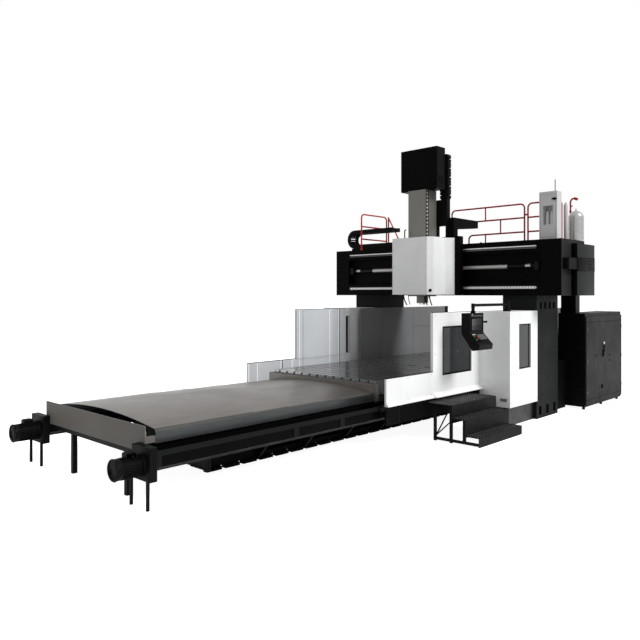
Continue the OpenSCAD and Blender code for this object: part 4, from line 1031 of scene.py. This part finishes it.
RAM_PIPES = (
    ((-0.06, -0.110, 2.30), (-0.06, -0.118, 2.24), (-0.06, -0.135, 2.18), (-0.06, -0.160, 2.12)),
    ((-0.03, -0.190, 2.30), (-0.03, -0.205, 2.24), (-0.03, -0.225, 2.18), (-0.03, -0.250, 2.12)),
)
FAR_PIPE = ((-0.06, 0.430, 2.345), (-0.06, 0.415, 2.25), (-0.06, 0.385, 2.18), (-0.06, 0.345, 2.12))
AIR_PIPE = ((-0.06, 0.310, 2.345), (-0.06, 0.302, 2.25), (-0.06, 0.285, 2.18), (-0.06, 0.262, 2.13))
settle([bent_pipe(points, 0.012) for points in RAM_PIPES], "coolant_pipes", "rubber", "ram")
settle(bent_pipe(FAR_PIPE, 0.012), "far_coolant_pipe", "rubber", "saddle")
settle(bent_pipe(AIR_PIPE, 0.008), "air_pipe", "red", "saddle")
print("head:", [piece.name for piece in MADE[-4:]])

# %% [markdown]
# Motor box and chain on the ram. The box's front is a pressed steel panel with a raised border, and
# a grille of slots near its foot lets the motor breathe. The chain's links show as even ribs.

# %% Motor box and ram chain
box_low, box_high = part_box("ram_motor_box")
front_panel = block(
    (box_low.x - 0.003, box_low.y + 0.03, box_low.z + 0.03),
    (box_low.x + 0.002, box_high.y - 0.03, box_high.z - 0.03),
)
settle(sunk(front_panel, (-1, 0, 0), 0.02, 0.0015), "motor_box_front", "beam", "ram")
side_panel = block(
    (box_low.x + 0.02, box_low.y - 0.003, box_low.z + 0.06),
    (box_high.x - 0.02, box_low.y + 0.002, box_high.z - 0.03),
)
settle(sunk(side_panel, (0, -1, 0), 0.012, 0.0015), "motor_box_side", "beam", "ram")
panel_spots = []
for y in (box_low.y + 0.045, box_high.y - 0.045):
    panel_spots += row((box_low.x - 0.003, y, box_low.z + 0.06), (box_low.x - 0.003, y, box_high.z - 0.06), 4)
settle(screws(panel_spots, (-1, 0, 0), 0.006), "motor_box_screws", "black_bolt", "ram")
slot_strip = block((-0.09, box_low.y - 0.005, 4.58), (0.11, box_low.y - 0.001, 4.588), 0.001)
settle(copied(slot_strip, row((0, 0, 0), (0, 0, 0.14), 8)), "motor_box_grille", "rubber", "ram")

tower_low, tower_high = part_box("ram_chain_tower")
RAM_LINKS = 14
link = block((tower_low.x - 0.004, -0.481, -0.022), (tower_high.x + 0.004, -0.279, 0.022), 0.006)
settle(copied(link, row((0, 0, 4.33), (0, 0, 5.12), RAM_LINKS)), "ram_chain_links", "chain", "saddle")
print("ram chain links:", RAM_LINKS)

# %% [markdown]
# The crossbeam. Screws sit on the beam's face near its ends, the cable chain on top gets its side
# links, and lifting eyes stand on the beam. A sheet-metal box closes the operator's end, with a
# dotted plate and with a black cover over the duct.

# %% The beam's small parts
beam_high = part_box("crossbeam")[1]
BEAM_FACE = 0.402


def lifting_eye(radius=0.035):
    """A forged ring on a collar, standing on the origin."""
    deselect()
    bpy.ops.mesh.primitive_torus_add(
        major_radius=radius, minor_radius=radius * 0.28, major_segments=20, minor_segments=8,
        location=(0, 0, radius * 1.5), rotation=(math.pi / 2, 0, 0),
    )
    ring = bpy.context.object
    return joined([ring, rod((0, 0, 0), (0, 0, radius * 0.6), radius * 0.7, 16)])


face_spots = [Vector((BEAM_FACE, y, z)) for y in (-2.55, 2.55) for z in (2.50, 2.68, 2.87, 3.06, 3.25)]
settle(screws(face_spots, (-1, 0, 0), 0.012), "beam_face_screws", "beam")
far_cover = sunk(
    block((0.55, beam_high.y - 0.001, 2.40), (1.32, beam_high.y + 0.006, 3.28)), (0, 1, 0), 0.03, 0.002
)
settle(far_cover, "beam_end_cover", "end_units")
END_BOX_LOW = Vector((0.835, -2.853, 2.318))
END_BOX_HIGH = Vector((1.655, -2.741, 3.286))
DUCT_END_X = 1.273
front_box = block(END_BOX_LOW, END_BOX_HIGH, 0.004)
dot_plate = block((DUCT_END_X, -2.858, 2.765), (END_BOX_HIGH.x, -2.850, 3.035), 0.002)
cooler_lid = block((1.430, -2.744, 3.270), (1.945, -1.840, 3.300), 0.006)
settle([front_box, dot_plate, cooler_lid], "beam_end_box", "end_units")
duct_cover = block((END_BOX_LOW.x, -2.861, 2.772), (DUCT_END_X, -2.850, 3.027), 0.002)
settle(duct_cover, "duct_cover", "casting")
eyes = [(1.30, y, beam_high.z) for y in (-0.6, 0.6)]
settle(copied(lifting_eye(), eyes), "beam_lifting_eyes", "black_bolt")

chain_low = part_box("beam_chain")[0]
rib = block((chain_low.x + 0.012, -0.018, -0.003), (chain_low.x + 0.024, 0.018, 0.070), 0.003)
rib_spots = row((0, 0.50, chain_low.z + 0.02), (0, 2.10, chain_low.z + 0.02), 24)
settle(copied(rib, rib_spots), "beam_chain_links", "chain")
print("beam:", [piece.name for piece in MADE[-4:]])

# %% [markdown]
# On top of the beam. The handrail's posts stand in round base plates. The unit cabinet has a lever,
# a niche with two pumps and a seam round its door. A smooth bottle takes the place of the CAD
# model's plain one, and two pipes rise from the cooling unit: a grey one, and a red one with a
# hooked end.

# %% Handrail feet and unit cabinet
BASE_PLACES = ((0.432, 1.99), (1.368, 1.99), (1.39, 0.172), (1.39, -1.544), (1.39, -1.619), (1.39, -2.319))
base_spots = [Vector((x, y, beam_high.z)) for x, y in BASE_PLACES]
plate = rod((0, 0, 0), (0, 0, 0.010), 0.036, 24, 0.002)
collar = rod((0, 0, 0.008), (0, 0, 0.030), 0.024, 24, 0.003)
settle(copied(joined([plate, collar]), base_spots), "handrail_feet", "red")

unit_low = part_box("unit_cabinet")[0]
lever = [
    rod((unit_low.x - 0.02, -2.465, 4.132), (unit_low.x + 0.002, -2.465, 4.132), 0.024, 20),
    block((unit_low.x - 0.022, -2.512, 4.118), (unit_low.x - 0.004, -2.416, 4.146), 0.005),
]
settle(lever, "unit_lever", "rubber")
UNIT_LINES = (
    (-2.490, -2.487, 3.42, 4.22), (-2.190, -2.187, 3.42, 4.22),
    (-2.490, -2.187, 3.42, 3.423), (-2.490, -2.187, 4.217, 4.22),
)
unit_lines = [
    seam((unit_low.x - 0.001, y0, z0), (unit_low.x + 0.001, y1, z1)) for y0, y1, z0, z1 in UNIT_LINES
]
settle(unit_lines, "unit_door_lines", "mid_grey")
niche_frame = window_ring(
    (unit_low.x - 0.004, -2.455, 3.635), (unit_low.x + 0.003, -2.215, 4.035), (1, 0, 0), 0.014
)
settle(niche_frame, "unit_niche_frame", "unit")
pump_ring = rod((0, 0, 0), (0, 0, 0.008), 0.043, 24, 0.002)
ring_spots = [Vector((0.824, y, 3.66 + step * 0.06)) for y in (-2.38, -2.291) for step in range(3)]
settle(copied(pump_ring, ring_spots), "unit_pump_rings", "zinc")
print("cabinet pieces:", [piece.name for piece in MADE[-4:]])

# %% Bottle, pipes and cooling unit
bottle_low, bottle_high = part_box("gas_bottle")
BOTTLE_AXIS = (bottle_low + bottle_high) / 2


def hand_wheel(centre, radius):
    """A valve's handwheel: a rim, a hub and four spokes."""
    deselect()
    bpy.ops.mesh.primitive_torus_add(
        major_radius=radius, minor_radius=radius * 0.16, major_segments=24, minor_segments=8, location=centre
    )
    parts = [bpy.context.object]
    spot = Vector(centre)
    parts.append(rod(spot - Vector((0, 0, 0.008)), spot + Vector((0, 0, 0.008)), radius * 0.25, 12))
    for turn in range(2):
        arm = Vector((math.cos(turn * math.pi / 2), math.sin(turn * math.pi / 2), 0)) * radius
        parts.append(rod(spot - arm, spot + arm, radius * 0.1, 8, 0))
    return joined(parts)


BOTTLE_R = (bottle_high.x - bottle_low.x) / 2


def domed_bottle():
    """A pressed steel bottle: a sphere whose lower half is drawn down into the body."""
    shoulder_z = bottle_high.z - BOTTLE_R - 0.004
    deselect()
    bpy.ops.mesh.primitive_uv_sphere_add(
        segments=64, ring_count=32, radius=BOTTLE_R, location=(BOTTLE_AXIS.x, BOTTLE_AXIS.y, shoulder_z)
    )
    bottle = bpy.context.object
    bpy.ops.object.transform_apply()
    work_faces(bottle, lambda face: face.center.z < shoulder_z)
    bpy.ops.transform.translate(value=(0, 0, bottle_low.z + BOTTLE_R - shoulder_z + 0.001))
    bpy.ops.object.mode_set(mode="OBJECT")
    return bottle


bottle = settle(domed_bottle(), "pressure_bottle", "bottle")
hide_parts("gas_bottle")
valve_top = Vector((BOTTLE_AXIS.x, BOTTLE_AXIS.y, bottle_high.z))
neck = rod(valve_top - Vector((0, 0, 0.02)), valve_top + Vector((0, 0, 0.03)), 0.012, 16, 0.003)
settle([neck, hand_wheel(valve_top + Vector((0, 0, 0.034)), 0.020)], "bottle_valve", "zinc")

cooler_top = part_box("beam_end_units")[1].z
red_pipe = tube(
    [(1.90, -2.28, cooler_top), (1.90, -2.28, 3.70), (1.90, -2.28, 4.12), (1.90, -2.285, 4.22),
     (1.90, -2.32, 4.265), (1.90, -2.36, 4.268)], 0.017,
)
settle(red_pipe, "red_pipe", "red")
hook_end = [
    rod((1.90, -2.355, 4.272), (1.90, -2.425, 4.245), 0.028, 16),
    rod((1.90, -2.28, 4.12), (1.90, -2.325, 4.12), 0.012, 12),
    rod((1.90, -2.28, 4.00), (1.90, -2.28, 4.03), 0.026, 16),
]
settle(hook_end, "red_pipe_fittings", "red")
grey_pipe = [
    rod((1.516, -2.35, cooler_top), (1.516, -2.35, 4.11), 0.045, 24, 0.008),
    rod((1.516, -2.35, 4.11), (1.516, -2.35, 4.15), 0.022, 16, 0.004),
]
settle(grey_pipe, "filter_pipe", "unit")

vent_hole = sunk(block((0, -2.8605, 0), (0.052, -2.857, 0.030), 0.001), (0, -1, 0), 0.004, 0.002)
vent_spots = [Vector((x, 0, z)) for x in (1.33, 1.44, 1.55) for z in (2.80, 2.85, 2.90, 2.95, 3.00)]
settle(copied(vent_hole, vent_spots), "cooler_vents", "rubber")
side_grille = window_ring((1.934, -2.60, 2.45), (1.946, -2.00, 3.15), (1, 0, 0), 0.03)
fan_slat = block((1.938, -2.58, 0), (1.944, -2.02, 0.010), 0.001)
fan_slats = copied(fan_slat, row((0, 0, 2.49), (0, 0, 3.10), 20))
settle([side_grille, fan_slats], "cooler_fan_grille", "end_units")
print("bottle and cooler:", [piece.name for piece in MADE[-4:]])

# %% [markdown]
# The electrical cabinet. Two doors meet in the middle under a top band. Each door has hinges and
# locks, and the front one a dark handle plate and a white push button. The parts on a door ride
# with it. Black cable trunking runs from the cabinet to the column's foot.

# %% Electrical cabinet
DOOR_FACE = -2.526
cabinet_low, cabinet_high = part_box("electrical_cabinet")


def key_lock(x, z, radius=0.018):
    """A round lock with a slot for the key."""
    lock = rod((x, DOOR_FACE, z), (x, DOOR_FACE - 0.008, z), radius, 20)
    slot_bar = block(
        (x - 0.0015, DOOR_FACE - 0.010, z - 0.007), (x + 0.0015, DOOR_FACE - 0.007, z + 0.007), 0
    )
    return joined([lock, slot_bar])


def handle_plate(x, z0, z1):
    """A swing handle in its long dished plate."""
    plate = block((x - 0.030, DOOR_FACE - 0.008, z0), (x + 0.030, DOOR_FACE + 0.001, z1))
    sunk(plate, (0, -1, 0), 0.006, 0.005)
    grip = block((x - 0.012, DOOR_FACE - 0.020, z0 + 0.02), (x + 0.012, DOOR_FACE - 0.003, z1 - 0.035), 0.005)
    return joined([plate, grip])


def hinge(x, z):
    """A pin hinge with a short leaf."""
    pin = rod((x, DOOR_FACE - 0.003, z - 0.045), (x, DOOR_FACE - 0.003, z + 0.045), 0.005, 12)
    leaf = block((x - 0.004, DOOR_FACE - 0.004, z - 0.035), (x + 0.030, DOOR_FACE + 0.001, z + 0.035), 0.001)
    return joined([pin, leaf])


front_low, front_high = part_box("cabinet_door_front")
rear_low, rear_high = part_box("cabinet_door_rear")
FRONT_DOOR = "cabinet_door_front"
REAR_DOOR = "cabinet_door_rear"
settle(handle_plate(2.975, 1.025, 1.165), "front_door_handle", "rubber", FRONT_DOOR)
front_locks = [key_lock(2.618, 1.071), handle_plate(2.919, 0.365, 0.450)]
settle(front_locks, "front_door_locks", "rubber", FRONT_DOOR)
settle([key_lock(3.358, z) for z in (1.031, 0.923)], "rear_door_locks", "rubber", REAR_DOOR)
button = rod((3.009, DOOR_FACE, 1.309), (3.009, DOOR_FACE - 0.014, 1.309), 0.030, 24)
settle(sunk(button, (0, -1, 0), 0.005, -0.006), "door_push_button", "button", FRONT_DOOR)
hinge_zs = (front_low.z + 0.25, (front_low.z + front_high.z) / 2, front_high.z - 0.25)
front_hinges = [hinge(front_low.x + 0.012, z) for z in hinge_zs]
settle(front_hinges, "front_door_hinges", "black_bolt", FRONT_DOOR)
rear_hinges = [hinge(rear_high.x - 0.030, z) for z in hinge_zs]
settle(rear_hinges, "rear_door_hinges", "black_bolt", REAR_DOOR)
roof_lip = window_ring(
    (cabinet_low.x + 0.004, -2.498, cabinet_high.z - 0.001),
    (4.083, cabinet_high.y - 0.004, cabinet_high.z + 0.008), (0, 0, 1), 0.02,
)
settle(roof_lip, "cabinet_roof_lip", "charcoal")


def door_lines(x0, x1):
    """The dark joint lines along the upper and the lower edge of a door."""
    return [seam((x0, DOOR_FACE - 0.0015, z), (x1, DOOR_FACE + 0.001, z + 0.008)) for z in (1.764, 0.193)]


front_lines = door_lines(front_low.x + 0.006, front_high.x)
front_lines.append(seam((2.482, DOOR_FACE - 0.0015, 0.201), (2.488, DOOR_FACE + 0.001, 1.764)))
settle(front_lines, "front_door_lines", "rubber", FRONT_DOOR)
settle(door_lines(rear_low.x, rear_high.x - 0.006), "rear_door_lines", "rubber", REAR_DOOR)
trunk = block((1.440, -2.10, 0.02), (2.078, -1.98, 0.98), 0.006)
settle(sunk(trunk, (0, -1, 0), 0.02, 0.003), "cable_trunk", "casting")
print("cabinet:", [piece.name for piece in MADE[-4:]])

# %% [markdown]
# The operator's place. The treads are chequered by rows of low studs, and round braces stiffen the
# steps. The console hangs from the arm with its screen, a row of keys, a keyboard on the sloping
# shelf, and an emergency stop.

# %% Steps
steps_low, steps_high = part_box("operator_steps")
TREADS = ((-2.110, -1.66, 0.592), (-2.36, -2.13, 0.390), (-2.60, -2.37, 0.147))


def tread_studs():
    """Low studs in a grid over each tread."""
    stud_piece = block((-0.016, -0.004, -0.001), (0.016, 0.004, 0.003), 0.001)
    spots = []
    for y0, y1, z in TREADS:
        rows = max(int((y1 - y0) / 0.055), 2)
        for step, point in enumerate(row((0, y0 + 0.02, 0), (0, y1 - 0.02, 0), rows)):
            shift = 0.035 * (step % 2)
            count = int((steps_high.x - steps_low.x - 0.10) / 0.07)
            for column in range(count):
                spots.append(Vector((steps_low.x + 0.05 + shift + column * 0.07, point.y, z)))
    return copied(stud_piece, spots)


settle(tread_studs(), "tread_studs", "mid_grey")
braces = []
for x in (steps_low.x + 0.02, steps_high.x - 0.028):
    braces.append(rod((x, -1.83, 0.06), (x, -2.10, 0.55), 0.012, 8, 0))
braces.append(rod((steps_low.x + 0.05, -1.825, 0.08), (steps_high.x - 0.05, -1.825, 0.54), 0.010, 8, 0))
settle(braces, "step_braces", "steps")
print("steps finished")

# %% Console
console_low, console_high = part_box("pendant_console")
SCREEN_FACE = -2.150
SHELF_TOP = Vector((0, -2.150, 1.704))
SHELF_FOOT = Vector((0, -2.327, 1.519))
shelf_run = SHELF_FOOT - SHELF_TOP
shelf_normal = Vector((0, shelf_run.z, -shelf_run.y)).normalized()
console_mid = (console_low.x + console_high.x) / 2

bezel = window_ring(
    (console_low.x + 0.035, SCREEN_FACE - 0.012, 1.735), (console_high.x - 0.035, SCREEN_FACE + 0.002, 1.955),
    (0, -1, 0), 0.014, 0.004,
)
settle(bezel, "screen_bezel", "rubber", "console")
screen = block(
    (console_low.x + 0.047, SCREEN_FACE - 0.006, 1.747),
    (console_high.x - 0.047, SCREEN_FACE + 0.001, 1.943),
)
settle(sunk(screen, (0, -1, 0), 0.006, 0.001), "console_screen", "screen", "console")
first_x = console_low.x + 0.06
label_keys = copied(
    block((-0.012, SCREEN_FACE - 0.006, -0.006), (0.012, SCREEN_FACE + 0.001, 0.006), 0.002),
    [(first_x + step * 0.034, 0, 1.985) for step in range(10)],
)
settle(label_keys, "console_top_keys", "mid_grey", "console")
lamp = rod((first_x, SCREEN_FACE, 2.008), (first_x, SCREEN_FACE - 0.010, 2.008), 0.010, 16)
settle(lamp, "console_lamp", "button", "console")


def on_shelf(across, down, lift=0.0):
    """A place on the sloping shelf: across from the middle, and down from its upper edge."""
    spot = SHELF_TOP + shelf_run.normalized() * down + shelf_normal * lift
    return Vector((console_mid + across, spot.y, spot.z))


shelf_turn = facing(shelf_normal)
key_top = block((-0.010, -0.008, -0.001), (0.010, 0.008, 0.007), 0.002)
key_spots = [on_shelf(-0.05 + c * 0.0255, 0.045 + r * 0.0225) for c in range(9) for r in range(5)]
settle(copied(key_top, key_spots, shelf_turn), "console_keys", "mid_grey", "console")
board = sunk(block((-0.125, -0.062, -0.001), (0.125, 0.062, 0.003)), (0, 0, 1), 0.004, 0.001)
settle(copied(board, [on_shelf(0.052, 0.090)], shelf_turn), "keyboard_plate", "rubber", "console")
pale_keys = block((-0.012, -0.009, -0.001), (0.012, 0.009, 0.008), 0.002)
settle(
    copied(pale_keys, [on_shelf(-0.17 + c * 0.032, 0.035) for c in range(3)], shelf_turn),
    "console_pale_keys", "button", "console",
)
knob = joined([
    rod((0, 0, 0), (0, 0, 0.016), 0.014, 16),
    block((-0.003, -0.014, 0.012), (0.003, 0.014, 0.020), 0.001),
])
knob_spots = [on_shelf(-0.16 + c * 0.045, 0.175) for c in range(3)]
settle(copied(knob, knob_spots, shelf_turn), "console_knobs", "console", "console")
green_button = rod((0, 0, 0), (0, 0, 0.010), 0.012, 16)
green_spots = [on_shelf(-0.165, 0.075), on_shelf(-0.165, 0.140)]
settle(copied(green_button, green_spots, shelf_turn), "start_buttons", "green", "console")
stop = joined([
    rod((0, 0, 0), (0, 0, 0.018), 0.013, 16),
    rod((0, 0, 0.016), (0, 0, 0.032), 0.022, 24, 0.006),
])
settle(copied(stop, [on_shelf(-0.120, 0.110)], shelf_turn), "emergency_stop", "red", "console")
grip_z = 1.875
grip = [
    rod((console_high.x - 0.004, -2.10, grip_z), (console_high.x + 0.20, -2.10, grip_z), 0.012, 16),
    rod((console_high.x + 0.05, -2.10, grip_z), (console_high.x + 0.20, -2.10, grip_z), 0.017, 16, 0.005),
]
settle(grip, "console_grip", "rubber", "console")
print("console:", len([piece for piece in MADE if body_of(piece) == "console"]), "pieces")

# %% [markdown]
# Table, columns and base frames. The gutters at the table's ends and the tops of the columns are
# held by rows of screws. The black base frame is made of panels with a faint joint between them.

# %% Table, columns and base frames
gutter_low, gutter_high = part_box("table_end_plates")
gutter_screws = []
for x, normal in ((gutter_low.x, (-1, 0, 0)), (gutter_high.x, (1, 0, 0))):
    gutter_screws.append(screws(row((x, -1.15, 0.70), (x, 1.15, 0.70), 12), normal, 0.012))
settle(gutter_screws, "gutter_screws", "zinc", "table")
column_low, column_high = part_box("near_column")
column_spots = row((column_low.x + 0.05, column_low.y, 2.28), (column_high.x - 0.05, column_low.y, 2.28), 7)
settle(wall_screws(column_spots, 0.013), "column_top_screws", "black_bolt")
frame_lines = []
for y in (-GUARD_FACE, GUARD_FACE):
    for x in (-2.98, -1.36):
        frame_lines.append(seam((x - 0.004, y - 0.0015, 0.36), (x + 0.004, y + 0.0015, 0.62)))
settle(frame_lines, "base_frame_joint_lines", "charcoal")
frame_spots = row((-3.22, -GUARD_FACE, 0.60), (-0.62, -GUARD_FACE, 0.60), 18)
settle(wall_screws(frame_spots, 0.008), "base_frame_screws", "black_bolt")
triangles = sum(len(face.vertices) - 2 for piece in MADE for face in piece.data.polygons)
print("pieces made:", len(MADE), "triangles:", triangles)

# %% [markdown]
# The floor is a plain pale plane that keeps the machine's soft shadow. To the camera, and in
# reflections, it and the sky are white, as in a cut-out studio picture. The Light Path node tells
# those rays from the ones that carry light, so the object itself isn't lit any harder.


# %% Floor and sky
FLOOR_SIZE = 160.0
FLOOR_GREY = 0.66
FLOOR_GLOW = 0.93


def seen_rays(tree):
    """A socket that is 1 for camera, glossy and transmission rays."""
    path = tree.nodes.new("ShaderNodeLightPath")
    total = path.outputs["Is Camera Ray"]
    for name in ("Is Glossy Ray", "Is Transmission Ray"):
        either = tree.nodes.new("ShaderNodeMath")
        either.operation = "MAXIMUM"
        tree.links.new(total, either.inputs[0])
        tree.links.new(path.outputs[name], either.inputs[1])
        total = either.outputs[0]
    return total


def grey_shader(tree, kind, level, strength=None):
    """A shader node with a level of grey and, where it glows, a strength."""
    made = tree.nodes.new(kind)
    made.inputs["Color"].default_value = (level, level, level, 1)
    if strength is not None:
        made.inputs["Strength"].default_value = strength
    return made


def end_tree(tree, to_light, to_eye, kind):
    """Ends a tree with one shader for the rays that carry light and another for the eye's."""
    choice = tree.nodes.new("ShaderNodeMixShader")
    tree.links.new(seen_rays(tree), choice.inputs["Fac"])
    tree.links.new(to_light.outputs[0], choice.inputs[1])
    tree.links.new(to_eye.outputs[0], choice.inputs[2])
    end = tree.nodes.new(kind)
    tree.links.new(choice.outputs[0], end.inputs["Surface"])


def add_floor():
    """The floor: grey to the light, and white with a soft shadow to the eye."""
    bpy.ops.mesh.primitive_plane_add(size=FLOOR_SIZE, location=(0, 0, -0.002))
    floor = bpy.context.object
    floor.name = "studio_floor"
    material = bpy.data.materials.new("studio_floor")
    material.use_nodes = True
    tree = material.node_tree
    tree.nodes.clear()
    grey = grey_shader(tree, "ShaderNodeBsdfDiffuse", FLOOR_GREY)
    glow = grey_shader(tree, "ShaderNodeEmission", 1, FLOOR_GLOW)
    both = tree.nodes.new("ShaderNodeAddShader")
    tree.links.new(grey.outputs[0], both.inputs[0])
    tree.links.new(glow.outputs[0], both.inputs[1])
    end_tree(tree, grey, both, "ShaderNodeOutputMaterial")
    floor.data.materials.append(material)


def set_sky():
    """An even sky: soft fill for the light, and white to the eye."""
    world = bpy.data.worlds.new("studio_sky")
    bpy.context.scene.world = world
    world.use_nodes = True
    tree = world.node_tree
    tree.nodes.clear()
    fill = grey_shader(tree, "ShaderNodeBackground", 1, SKY_FILL)
    white = grey_shader(tree, "ShaderNodeBackground", 1, 1.0)
    end_tree(tree, fill, white, "ShaderNodeOutputWorld")


add_floor()
set_sky()
bpy.context.scene.view_settings.view_transform = "Standard"
print("view transform:", bpy.context.scene.view_settings.view_transform)
